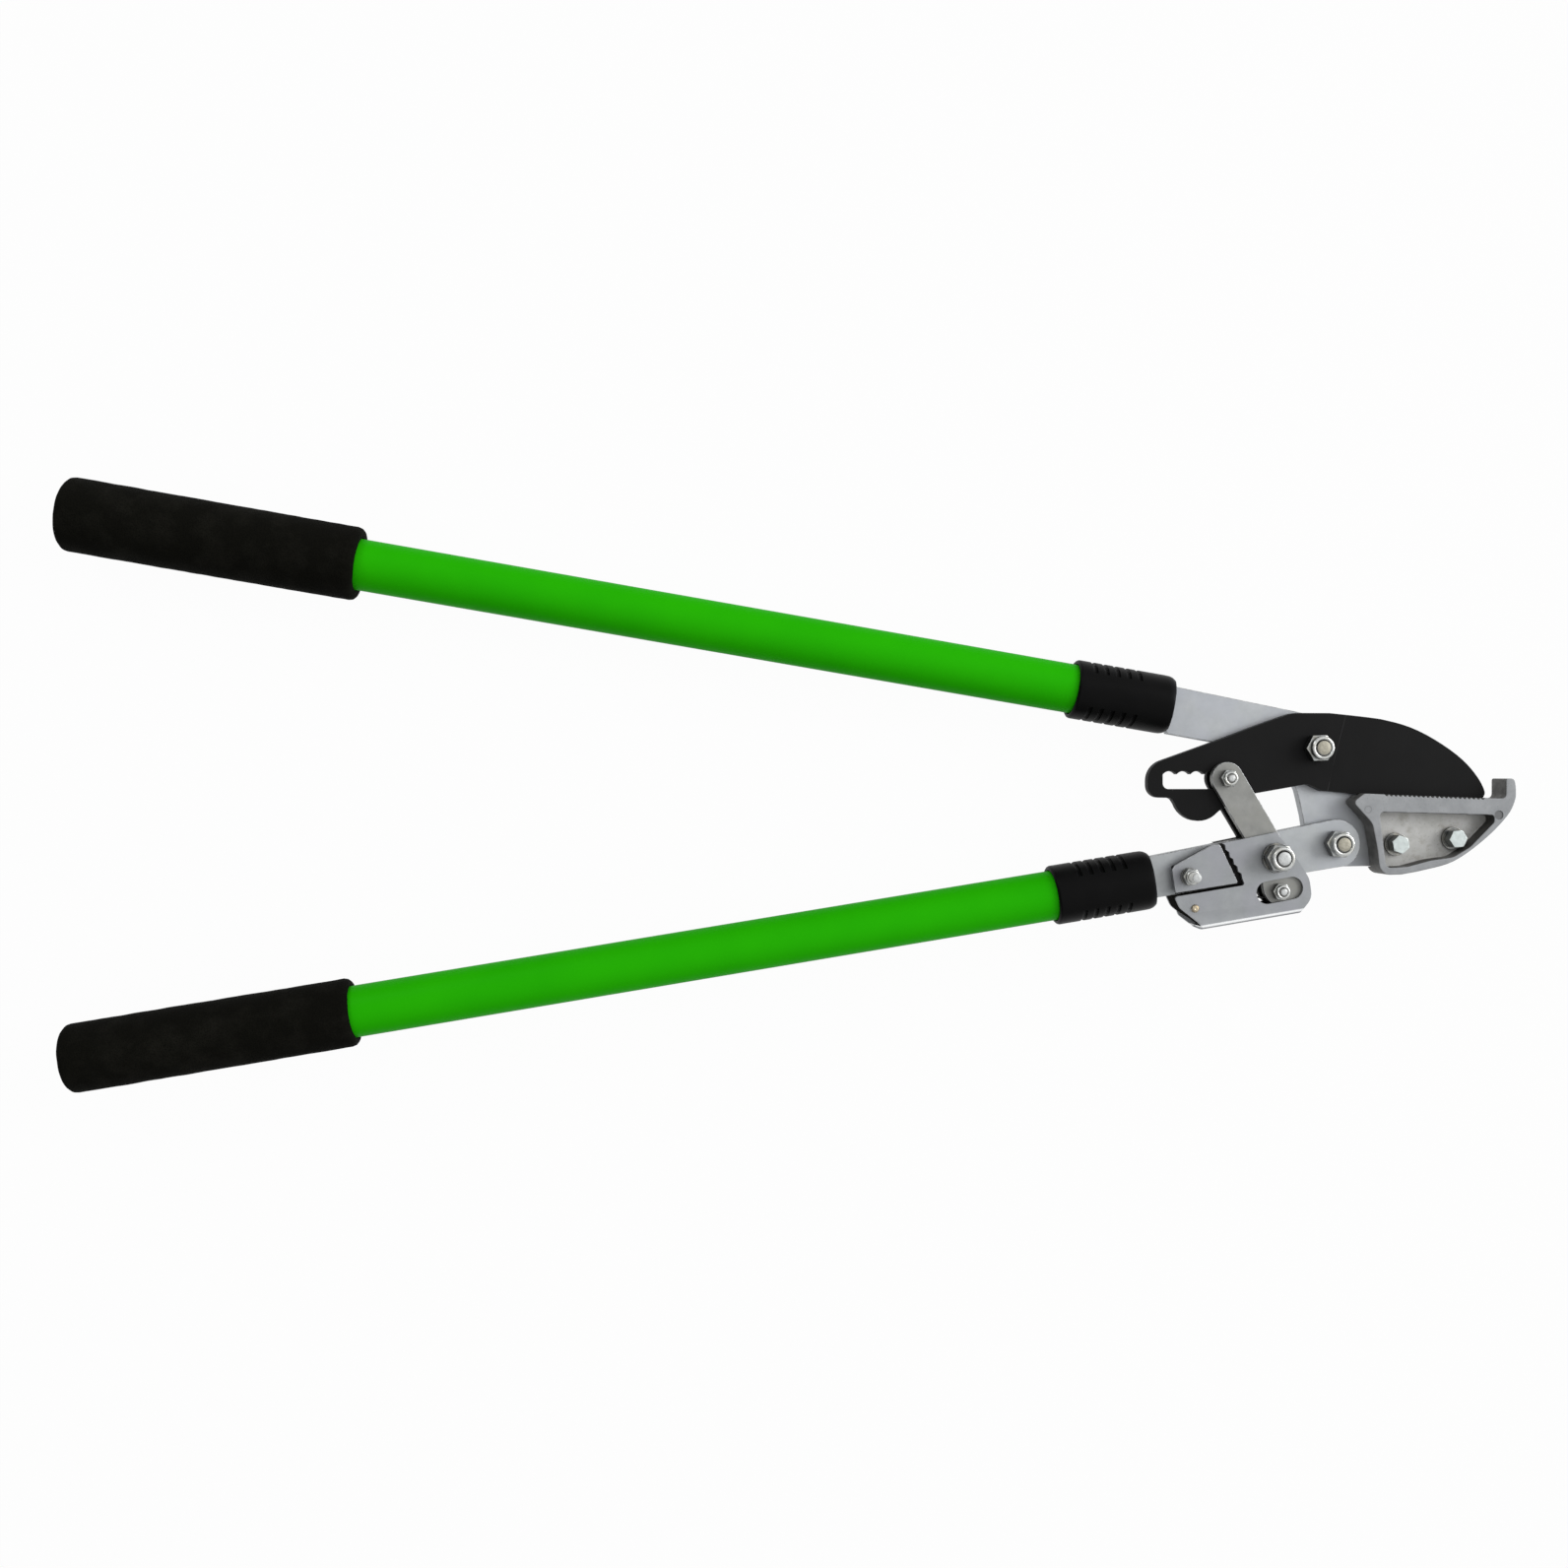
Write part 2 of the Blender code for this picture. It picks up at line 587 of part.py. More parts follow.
def collar(name, mouth, y, z, slot, parent):
    """The moulded sleeve over the tube's end, with a slot in its end wall for the tang."""
    outer = COLLAR_WIDTH / 2
    bore = TUBE_WIDTH / 2 + SEAT
    rear = mouth - COLLAR_LENGTH
    wall = mouth - COLLAR_END_WALL
    lip = (outer - bore) * 0.6
    profile = [(wall, bore), (rear, bore), (rear, outer - lip), (rear + 2 * lip, outer),
               (mouth - 2 * COLLAR_BEVEL, outer), (mouth, outer - COLLAR_BEVEL)]
    sleeve = loft(name, along_x(profile, TUBE_SIDES, y, z), "black_plastic", parent, False)
    cutter = plate(name + "_slot", slot, z - ROOT_PLATE / 2 - SEAT, z + ROOT_PLATE / 2 + SEAT,
                   "black_plastic", parent)
    subtract(sleeve, cutter)
    return sleeve


def grip(name, start, length, width, y, z, parent):
    """A foam grip, closed and rounded at its far end, with a bore for the tube."""
    outer = width / 2
    far = start - length
    bore = TUBE_WIDTH / 2 + SEAT
    profile = [(far, (outer - GRIP_END_ROUND) * 0.6)]
    for i in range(4):
        angle = math.pi / 2 * i / 3
        profile.append((far + GRIP_DOME + GRIP_END_ROUND * (1 - math.cos(angle)),
                        outer - GRIP_END_ROUND * (1 - math.sin(angle))))
    for i in range(3):
        angle = math.pi / 2 * i / 2
        profile.append((start - GRIP_MOUTH_ROUND * (1 - math.sin(angle)),
                        outer - GRIP_MOUTH_ROUND * (1 - math.cos(angle))))
    profile += [(start, bore), (far + GRIP_END_WALL, bore)]
    return loft(name, along_x(profile, TUBE_SIDES, y, z), "black_foam", parent, False, math.radians(50))


def tube_plug(name, end, y, z, parent):
    """The plastic plug that closes the tube's far end under the grip."""
    outer = TUBE_WIDTH / 2
    bore = TUBE_BORE - SEAT
    profile = [(end - SEAT - PLUG_FLANGE, outer * 0.98), (end - SEAT, outer * 0.98), (end - SEAT, bore),
               (end + PLUG_LENGTH, bore)]
    return loft(name, along_x(profile, M8_SIDES, y, z), "grey_nylon", parent, False)


def tang_insert(name, mouth, y, z, thickness, rivet, parent):
    """The plastic bush that fills the tube round the tang."""
    end = mouth - COLLAR_END_WALL - SEAT - INSERT_SETBACK
    start = end - INSERT_LENGTH
    profile = [(start, TUBE_BORE - SEAT), (end, TUBE_BORE - SEAT)]
    bush = loft(name, along_x(profile, M8_SIDES, y, z), "grey_nylon", parent, False)
    half = TANG_INNER_WIDTH / 2 + SEAT
    outline = [(start - SEAT * 10, y - half), (end + SEAT * 10, y - half),
               (end + SEAT * 10, y + half), (start - SEAT * 10, y + half)]
    subtract(bush, plate(name + "_slot", outline, z - thickness / 2 - SEAT, z + thickness / 2 + SEAT,
                         "grey_nylon", parent))
    subtract(bush, plate(name + "_hole", circle(rivet, TANG_RIVET_WIDTH / 2 + HOLE_CLEARANCE),
                         z - TUBE_WIDTH, z + TUBE_WIDTH, "grey_nylon", parent))
    return bush


def handle(prefix, mouth, grip_start, grip_length, foam, y, z, thickness, slot, parent):
    """Tube, collar, insert, rivet, plug and grip of one handle."""
    tube_start = mouth - COLLAR_END_WALL - SEAT
    tube_end = grip_start - grip_length + GRIP_END_WALL + SEAT * 2 + PLUG_FLANGE
    rivet = (tube_start - TANG_RIVET_SETBACK, y)
    body = tube(prefix + "_tube", tube_end, tube_start, y, z, parent)
    hole = plate(prefix + "_tube_hole", circle(rivet, TANG_RIVET_WIDTH / 2 + HOLE_CLEARANCE),
                 z - TUBE_WIDTH, z + TUBE_WIDTH, "green_paint", parent)
    subtract(body, hole)
    collar(prefix + "_collar", mouth, y, z, slot, parent)
    tang_insert(prefix + "_tang_insert", mouth, y, z, thickness, rivet, parent)
    half = math.sqrt((TUBE_WIDTH / 2) ** 2 - (TANG_RIVET_WIDTH / 2) ** 2) - SEAT
    loft(prefix + "_tang_rivet", along_z([(z - half, TANG_RIVET_WIDTH / 2), (z + half, TANG_RIVET_WIDTH / 2)],
                                         rivet, SMALL_SIDES), "bright_zinc", parent, False)
    tube_plug(prefix + "_tube_plug", tube_end, y, z, parent)
    grip(prefix + "_grip", grip_start, grip_length, TUBE_WIDTH + 2 * foam, y, z, parent)


def necks(mouth, low, high, centre):
    """The lower and the upper pair of corners between which a tang narrows to enter its tube."""
    inner = TANG_INNER_WIDTH / 2
    return ([(mouth - TANG_NECK, centre - inner), (mouth + SEAT, low)],
            [(mouth + SEAT, high), (mouth - TANG_NECK, centre + inner)])


def tang_slot(mouth, low, high, centre):
    """The outline cut through a collar's end wall, clear of the tang's edges."""
    lower, upper = necks(mouth, low, high, centre)
    return grown([*lower, *upper], SEAT)


# Jaw

def root_outline():
    """Upper tang, pivot boss, jaw neck and the finger inside the anvil, counter-clockwise."""
    lower, upper = necks(UPPER_COLLAR_MOUTH, UPPER_TANG_BOTTOM, UPPER_TANG_TOP, UPPER_TUBE_OFFSET)
    end = UPPER_COLLAR_MOUTH - TANG_INSERTION
    tang_low = [(end, lower[0][1], 0.002), (*lower[0], 0.002), (*lower[1], 0.0005),
                (-0.0250, UPPER_TANG_BOTTOM - 0.0006, 0.020)]
    boss = arc((0, 0), BOSS_RADIUS, math.radians(-10), math.pi / 2 + UPPER_HANDLE_ANGLE)
    tang_high = [(*upper[0], 0.0005), (*upper[1], 0.002), (end, upper[1][1], 0.002)]
    return rounded([(*from_upper(x, y), r) for x, y, r in tang_low] + [*JAW_CORNERS] + plain(boss)
                   + [(*from_upper(x, y), r) for x, y, r in tang_high])


def anvil_plate(parent):
    """The steel stamping that is the upper tang and carries the anvil."""
    rivet = from_upper(UPPER_COLLAR_MOUTH - COLLAR_END_WALL - SEAT - TANG_RIVET_SETBACK, UPPER_TUBE_OFFSET)
    holes = [circle((0, 0), M8_SHANK / 2 + HOLE_CLEARANCE, M8_SIDES),
             circle(HANDLE_PIVOT, M8_SHANK / 2 + HOLE_CLEARANCE, M8_SIDES),
             circle(ANVIL_BOLT_REAR, M6_SHANK / 2 + HOLE_CLEARANCE),
             circle(ANVIL_BOLT_FRONT, M6_SHANK / 2 + HOLE_CLEARANCE),
             circle(rivet, TANG_RIVET_WIDTH / 2 + HOLE_CLEARANCE)]
    return plate("anvil_plate", root_outline(), ROOT_BACK, ROOT_FRONT, "zinc_plate", parent, holes)


def lip_height(x):
    """The height of the anvil's lip along its length."""
    share = (x - LIP_START[0]) / (LIP_END[0] - LIP_START[0])
    return LIP_START[1] + (LIP_END[1] - LIP_START[1]) * share


def anvil_outline():
    """The casting's outline with its toothed lip and end hook, counter-clockwise."""
    teeth = []
    for i in reversed(range(LIP_TEETH)):
        x = LIP_FIRST_TOOTH + i * LIP_TOOTH_PITCH
        teeth += [(x + LIP_TOOTH_PITCH, lip_height(x)),
                  (x + LIP_TOOTH_PITCH / 2, lip_height(x) - LIP_TOOTH_DEPTH)]
    lip_rear = [(LIP_FIRST_TOOTH, lip_height(LIP_FIRST_TOOTH), 0), (*LIP_START, 0.003)]
    return rounded([*plain(smooth(ANVIL_BELLY, CURVE_STEPS)), *ANVIL_HOOK_CORNERS, *plain([LIP_END, *teeth]),
                    *lip_rear, *ANVIL_REAR_CORNERS])


def anvil(parent):
    """The cast anvil: a web on the plate, a rim round a front pocket and a channel for the edge."""
    casting = plate("anvil", anvil_outline(), ANVIL_BACK, ANVIL_FRONT, "cast_alloy", parent,
                    [circle(ANVIL_BOLT_REAR, M6_SHANK / 2 + HOLE_CLEARANCE),
                     circle(ANVIL_BOLT_FRONT, M6_SHANK / 2 + HOLE_CLEARANCE)], FLAT)
    subtract(casting, plate("anvil_pocket", rounded(POCKET_CORNERS), ANVIL_FLOOR, ANVIL_FRONT + CUT_PAST,
                            "cast_alloy", parent))
    start = LIP_START[0] - CUT_PAST
    end = HOOK_FACE - CHANNEL_SETBACK
    channel = [(start, lip_height(start) - CHANNEL_DEPTH), (end, lip_height(end) - CHANNEL_DEPTH),
               (end, HOOK_TOP + CUT_PAST), (start, HOOK_TOP + CUT_PAST)]
    subtract(casting, plate("anvil_channel", channel, PIVOT_LAYER_BACK - CHANNEL_CLEARANCE,
                            BLADE_FRONT + CHANNEL_CLEARANCE, "cast_alloy", parent))
    subtract(casting, plate("anvil_recess", grown(root_outline(), SEAT), ANVIL_BACK - CUT_PAST, ANVIL_SEAT,
                            "cast_alloy", parent))
    return casting


def anvil_fasteners(parent):
    """Two hex bolts from the pocket through to nuts behind the plate."""
    for place, centre, turn in (("rear", ANVIL_BOLT_REAR, ANVIL_BOLT_TURNS[0]),
                                ("front", ANVIL_BOLT_FRONT, ANVIL_BOLT_TURNS[1])):
        washer_back = ANVIL_FLOOR + SEAT
        seat = washer_back + M6_WASHER + SEAT
        nut_front = ROOT_BACK - SEAT
        washer("anvil_washer_" + place, centre, washer_back, M6_WASHER, M6_WASHER_WIDTH, M6_SHANK, parent)
        front_hex_bolt("anvil_bolt_" + place, centre, seat, nut_front - M6_NUT - SEAT, M6_SHANK, M6_FLATS,
                       M6_HEAD, parent, turn)
        plain_nut("anvil_nut_" + place, centre, nut_front, M6_SHANK, M6_FLATS, M6_NUT, parent, turn)


# Blade

def ratchet_slot():
    """The tail's slot, with a scallop for each stop of the ratchet along its upper edge."""
    sag = NOTCH_RISE - NOTCH_CUSP_RISE
    radius = ((NOTCH_PITCH / 2) ** 2 + sag ** 2) / (2 * sag)
    half = math.asin(NOTCH_PITCH / 2 / radius)
    pin_x, pin_y = RATCHET_PIN
    left = pin_x - (NOTCH_COUNT - 0.5) * NOTCH_PITCH
    right = pin_x + NOTCH_PITCH / 2
    scallops = [(right, pin_y + NOTCH_CUSP_RISE)]
    for i in range(NOTCH_COUNT):
        centre = (pin_x - i * NOTCH_PITCH, pin_y + NOTCH_RISE - radius)
        scallops += arc(centre, radius, math.pi / 2 - half, math.pi / 2 + half)[1:]
    return rounded([(left, pin_y - SLOT_DROP, SLOT_END_ROUND), (right, pin_y - SLOT_DROP, SLOT_END_ROUND),
                    *plain(scallops)])


def blade_outline():
    """Slotted tail with its lobe, pivot body and curved blade, counter-clockwise."""
    drop = CHANNEL_DEPTH - EDGE_ABOVE_FLOOR
    edge = [(x, lip_height(x) - drop, 0) for x in (EDGE_START, EDGE_END)]
    lobe = arc(TAIL_LOBE, TAIL_LOBE_RADIUS, math.radians(200), math.radians(318))
    spine = plain(smooth(SPINE_POINTS, CURVE_STEPS))
    return rounded([*TAIL_CORNERS, *plain(lobe), *BELLY_CORNERS, *edge, *spine,
                    *BACK_CORNERS])


def blade(parent):
    """The coated blade, ground down from its spine to the edge on both faces."""
    piece = plate("blade", blade_outline(), PIVOT_LAYER_BACK, BLADE_FRONT, "black_coating", parent,
                  [ratchet_slot(), circle((0, 0), M8_SHANK / 2 + HOLE_CLEARANCE, M8_SIDES)], FLAT)
    subtract(piece, grind("front_grind", 1, BLADE_FRONT, parent))
    subtract(piece, grind("rear_grind", -1, PIVOT_LAYER_BACK, parent))
    return piece


def grind(name, side, face, parent):
    """The wedge ground off one face, from the spine down to the cutting edge."""
    deepest = (BLADE_PLATE - BLADE_EDGE_WIDTH) / 2
    slope = deepest / (GRIND_TOP - lip_height(EDGE_START) + CHANNEL_DEPTH)
    rings = []
    for y, x in ((GRIND_TOP - 0.0450, GRIND_HEEL[0]), (GRIND_TOP + 0.0050, GRIND_HEEL[1])):
        inside = face - side * slope * (GRIND_TOP - y)
        outside = face + side * BLADE_PLATE
        rings.append([(x, y, inside), (GRIND_FAR, y, inside), (GRIND_FAR, y, outside), (x, y, outside)])
    return loft(name, rings, "black_coating", parent, False, FLAT)


# Lower handle's tang

def lower_tang(parent):
    """The lower handle's steel tang, round at the handle pivot."""
    lower, upper = necks(LOWER_COLLAR_MOUTH, LOWER_TANG_BOTTOM, LOWER_TANG_TOP, LOWER_TUBE_OFFSET)
    end = LOWER_COLLAR_MOUTH - TANG_INSERTION
    nose = arc((0, 0), TANG_END_RADIUS, math.radians(-72), math.radians(88))
    outline = rounded([(end, lower[0][1], 0.002), (*lower[0], 0.002), (*lower[1], 0.0005), *plain(nose),
                       (*upper[0], 0.0005), (*upper[1], 0.002), (end, upper[1][1], 0.002)])
    rivet = (LOWER_COLLAR_MOUTH - COLLAR_END_WALL - SEAT - TANG_RIVET_SETBACK, LOWER_TUBE_OFFSET)
    holes = [circle((0, 0), M8_SHANK / 2 + HOLE_CLEARANCE, M8_SIDES),
             circle(LINK_PIVOT, M8_SHANK / 2 + HOLE_CLEARANCE, M8_SIDES),
             circle(PAWL_PIVOT, M5_SHANK / 2 + HOLE_CLEARANCE),
             circle(rivet, TANG_RIVET_WIDTH / 2 + HOLE_CLEARANCE)]
    return plate("lower_tang", outline, PIVOT_LAYER_BACK, TANG_FRONT, "zinc_plate", parent, holes)


# Ratchet links

def link_outline(pin, stud):
    """The link's outline round its pin, its pivot and its wide tail, in the link's frame."""
    aside = turned_point(LINK_TAIL_OFFSET, LOWER_HANDLE_ANGLE - link_turn())
    tail = (stud[0] + aside[0], stud[1] + aside[1])
    return strap((pin, LINK_HEAD_RADIUS), ((0, 0), LINK_HEAD_RADIUS), (tail, LINK_TAIL_RADIUS))


def links(parent):
    """A bright and a black link either side of the blade's tail, with their ratchet pin and spring stud."""
    pivot = Vector(from_lower(*LINK_PIVOT))
    way = Vector(RATCHET_PIN) - pivot
    pin = (0, way.length)
    down = turned_point((0, -SPRING_STUD_DISTANCE), LOWER_HANDLE_ANGLE - link_turn())
    holes = [circle(pin, M5_SHANK / 2 + HOLE_CLEARANCE),
             circle((0, 0), M8_SHANK / 2 + HOLE_CLEARANCE, M8_SIDES),
             circle(down, M5_SHANK / 2 + HOLE_CLEARANCE)]
    outline = link_outline(pin, down)
    plate("front_link", outline, FRONT_LINK_BACK, FRONT_LINK_FRONT, "zinc_plate", parent, holes)
    plate("rear_link", outline, REAR_LINK_BACK, REAR_LINK_FRONT, "black_coating", parent, holes)
    for name, centre, turn in (("ratchet_pin", pin, RATCHET_PIN_TURN),
                               ("spring_stud", down, SPRING_STUD_TURN)):
        m5_pivot(name, centre, REAR_LINK_BACK - SEAT, FRONT_LINK_FRONT + SEAT, M5_PROTRUSION, parent, turn)


def link_turn():
    """The link frame's turn, which points its +Y at the ratchet pin."""
    pivot = Vector(from_lower(*LINK_PIVOT))
    way = Vector(RATCHET_PIN) - pivot
    return math.atan2(way.y, way.x) - math.pi / 2


# Ratchet housing

def housing_outline():
    """The folded housing's side, with the toothed edge that meets the pawl plate, counter-clockwise."""
    start = Vector(HOUSING_TEETH_TOP)
    way = Vector(HOUSING_TEETH_FOOT) - start
    across = Vector((-way.y, way.x)).normalized() * HOUSING_TOOTH_DEPTH
    teeth = [start]
    for i in range(HOUSING_TEETH):
        teeth += [start + way * (i + 0.3) / HOUSING_TEETH + across, start + way * (i + 0.9) / HOUSING_TEETH]
    return rounded([*plain(teeth), *HOUSING_CORNERS])


def bend(radius, height, start, end):
    """Points round one of the housing's two bottom bends, as (y, z)."""
    middle = HOUSING_BOTTOM + HOUSING_BEND
    return [(middle + radius * math.sin(start + (end - start) * i / BEND_STEPS),
             height + radius * math.cos(start + (end - start) * i / BEND_STEPS))
            for i in range(BEND_STEPS + 1)]


def housing_channel(parent):
    """A long U of sheet, folded round the bottom bend."""
    inner = HOUSING_BEND - HOUSING_SHEET
    rear = REAR_CHEEK_BACK + HOUSING_BEND
    front = CHEEK_FRONT - HOUSING_BEND
    top = HOUSING_BLANK_TOP
    profile = [(top, REAR_CHEEK_BACK), *bend(HOUSING_BEND, rear, math.pi, 1.5 * math.pi),
               *bend(HOUSING_BEND, front, 1.5 * math.pi, math.tau), (top, CHEEK_FRONT),
               (top, CHEEK_FRONT - HOUSING_SHEET), *bend(inner, front, math.tau, 1.5 * math.pi),
               *bend(inner, rear, 1.5 * math.pi, math.pi), (top, REAR_CHEEK_BACK + HOUSING_SHEET)]
    rings = [[(x, y, z) for y, z in profile] for x in HOUSING_BLANK_ENDS]
    return loft("ratchet_housing", rings, "zinc_plate", parent, False, FLAT)


def housing(parent):
    """The folded ratchet housing round the tang's lower edge."""
    piece = housing_channel(parent)
    blank = plate("housing_blank", housing_outline(), REAR_CHEEK_BACK - CUT_PAST, CHEEK_FRONT + CUT_PAST,
                  "zinc_plate", parent,
                  [circle(LINK_PIVOT, M8_SHANK / 2 + HOLE_CLEARANCE, M8_SIDES),
                   obround(HOUSING_SLOT_START, HOUSING_SLOT_END, HOUSING_SLOT_WIDTH),
                   circle(SPRING_RIVET, SPRING_RIVET_WIDTH / 2 + HOLE_CLEARANCE)])
    trim = piece.modifiers.new("trim_to_blank", "BOOLEAN")
    trim.operation = "INTERSECT"
    trim.solver = "EXACT"
    trim.object = blank
    hide_tool(blank)
    lip = plate("housing_lip", rounded(LIP_CORNERS), REAR_CHEEK_BACK, REAR_CHEEK_FRONT, "zinc_plate", parent)
    join = piece.modifiers.new("add_lip", "BOOLEAN")
    join.operation = "UNION"
    join.solver = "EXACT"
    join.object = lip
    hide_tool(lip)
    return piece


def spring_rivet(parent):
    """The brass rivet through both cheeks that anchors the spring."""
    neck = SPRING_RIVET_WIDTH / 2
    head = SPRING_RIVET_HEAD / 2
    front = CHEEK_FRONT + SEAT
    back = REAR_CHEEK_BACK - SEAT
    rise = SPRING_RIVET_HEAD_HEIGHT
    profile = [(back - rise, head * 0.6), (back - rise * 0.5, head * 0.95), (back, head), (back, neck),
               (front, neck), (front, head), (front + rise * 0.5, head * 0.95), (front + rise, head * 0.6)]
    return loft("spring_rivet", along_z(profile, SPRING_RIVET, SMALL_SIDES), "brass", parent, False)


def spring_path(anchor, stud):
    """The spring's wire: a hook round the anchor, the coils and a hook round the stud."""
    way = Vector(stud) - Vector(anchor)
    length = way.length
    angle = math.atan2(way.y, way.x)
    hook_anchor = SPRING_RIVET_WIDTH / 2 + SPRING_WIRE / 2 + SEAT
    hook_stud = M5_SHANK / 2 + SPRING_WIRE / 2 + SEAT
    radius = (SPRING_COIL_WIDTH - SPRING_WIRE) / 2
    points = []
    for i in range(7):
        turn = math.radians(30 + 240 * i / 6)
        points.append(Vector((hook_anchor * math.cos(turn), hook_anchor * math.sin(turn), 0)))
    start = hook_anchor + 0.0040
    end = length - hook_stud - 0.0040
    per_turn = 8
    count = SPRING_TURNS * per_turn
    for i in range(count + 1):
        turn = math.tau * i / per_turn - math.pi / 2
        ease = min(1.0, i / 4, (count - i) / 4)
        points.append(Vector((start + (end - start) * i / count, radius * math.sin(turn) * (0.5 + 0.5 * ease),
                              radius * math.cos(turn) * ease)))
    for i in range(7):
        turn = math.radians(-90 + 240 * i / 6)
        points.append(Vector((length + hook_stud * math.cos(turn), hook_stud * math.sin(turn), 0)))
    frame = Matrix.Translation((anchor[0], anchor[1], 0)) @ Matrix.Rotation(angle, 4, "Z")
    return [frame @ p for p in points]


def spring(parent):
    """The extension spring that pulls the link's tail towards the rivet."""
    stud = (LINK_PIVOT[0], LINK_PIVOT[1] - SPRING_STUD_DISTANCE)
    height = (REAR_LINK_FRONT + FRONT_LINK_BACK) / 2
    path = spring_path(SPRING_RIVET, stud)
    wire = bpy.data.curves.new("ratchet_spring", "CURVE")
    wire.dimensions = "3D"
    wire.bevel_depth = SPRING_WIRE / 2
    wire.bevel_resolution = 0
    wire.use_fill_caps = True
    line = wire.splines.new("POLY")
    line.points.add(len(path) - 1)
    for point, place in zip(line.points, path):
        point.co = (place.x, place.y, place.z + height, 1.0)
    wire.materials.append(paint("ratchet_spring_finish", *FINISHES["spring_steel"]))
    piece = bpy.data.objects.new("ratchet_spring", wire)
    bpy.context.collection.objects.link(piece)
    piece.parent = parent
    return piece


# Pawl plate

def pawl_plate(parent):
    """The plate beside the housing's teeth, clamped by one bolt on a spacer; its frame is on the bolt."""
    outline = rounded([(x - PAWL_PIVOT[0], y - PAWL_PIVOT[1], r) for x, y, r in PAWL_CORNERS])
    return plate("pawl_plate", outline, CHEEK_BACK, PAWL_FRONT, "zinc_plate", parent,
                 [circle((0, 0), M5_SHANK / 2 + HOLE_CLEARANCE)])


# Assembly

def frame_empty(name, place, turn, parent=None):
    """An empty on a joint's axis, which carries what turns about it."""
    empty = bpy.data.objects.new(name, None)
    empty.empty_display_size = 0.01
    empty.location = (place[0], place[1], 0)
    empty.rotation_euler = (0, 0, turn)
    empty.parent = parent
    bpy.context.collection.objects.link(empty)
    return empty


def clear_scene():
    """Removes every object of the scene."""
    for piece in list(bpy.data.objects):
        bpy.data.objects.remove(piece, do_unlink=True)


def build():
    """The whole lopper, closed on its anvil as it lies."""
    clear_scene()
    jaw = frame_empty("blade_pivot_axis", (0, 0), 0)
    upper = frame_empty("upper_handle_axis", (0, 0), UPPER_HANDLE_ANGLE)
    lower = frame_empty("handle_pivot_axis", HANDLE_PIVOT, LOWER_HANDLE_ANGLE)
    link = frame_empty("link_pivot_axis", LINK_PIVOT, link_turn() - LOWER_HANDLE_ANGLE, lower)
    pawl = frame_empty("pawl_pivot_axis", PAWL_PIVOT, 0, lower)

    anvil_plate(jaw)
    anvil(jaw)
    anvil_fasteners(jaw)
    m8_pivot("blade_pivot", (0, 0), 0, BLADE_FRONT + SEAT, jaw, BLADE_PIVOT_TURN)
    m8_pivot("handle_pivot", HANDLE_PIVOT, 0, TANG_FRONT + SEAT, jaw, HANDLE_PIVOT_TURN)
    blade(jaw)

    handle("upper", UPPER_COLLAR_MOUTH, UPPER_GRIP_START, UPPER_GRIP_LENGTH, UPPER_GRIP_FOAM,
           UPPER_TUBE_OFFSET, UPPER_TUBE_HEIGHT, ROOT_PLATE,
           tang_slot(UPPER_COLLAR_MOUTH, UPPER_TANG_BOTTOM, UPPER_TANG_TOP, UPPER_TUBE_OFFSET), upper)

    lower_tang(lower)
    handle("lower", LOWER_COLLAR_MOUTH, LOWER_GRIP_START, LOWER_GRIP_LENGTH, LOWER_GRIP_FOAM,
           LOWER_TUBE_OFFSET, LOWER_TUBE_HEIGHT, TANG_PLATE,
           tang_slot(LOWER_COLLAR_MOUTH, LOWER_TANG_BOTTOM, LOWER_TANG_TOP, LOWER_TUBE_OFFSET), lower)
    housing(lower)
    spring_rivet(lower)
    spring(lower)
    washer("link_pivot_washer", LINK_PIVOT, CHEEK_FRONT + SEAT, M8_WASHER, M8_WASHER_WIDTH, M8_SHANK, lower,
           M8_SIDES)
    m8_pivot("link_pivot", LINK_PIVOT, REAR_CHEEK_BACK - SEAT - M8_HEAD, CHEEK_FRONT + 2 * SEAT + M8_WASHER,
             lower, LINK_PIVOT_TURN)
    washer("pawl_spacer", PAWL_PIVOT, TANG_FRONT + SEAT, CHEEK_BACK - TANG_FRONT - 2 * SEAT, M5_WASHER_WIDTH,
           M5_SHANK, lower)
    washer("pawl_washer", PAWL_PIVOT, PAWL_FRONT + SEAT, M5_WASHER, M5_WASHER_WIDTH, M5_SHANK, lower)
    m5_pivot("pawl", PAWL_PIVOT, PIVOT_LAYER_BACK - SEAT, PAWL_FRONT + 2 * SEAT + M5_WASHER,
             PAWL_BOLT_PROTRUSION, lower, PAWL_NUT_TURN)
    links(link)
    pawl_plate(pawl)


build()
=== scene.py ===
"""The dressed ratchet anvil lopper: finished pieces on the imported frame, a white table and soft light."""
import math

import bpy
from mathutils import Matrix, Vector


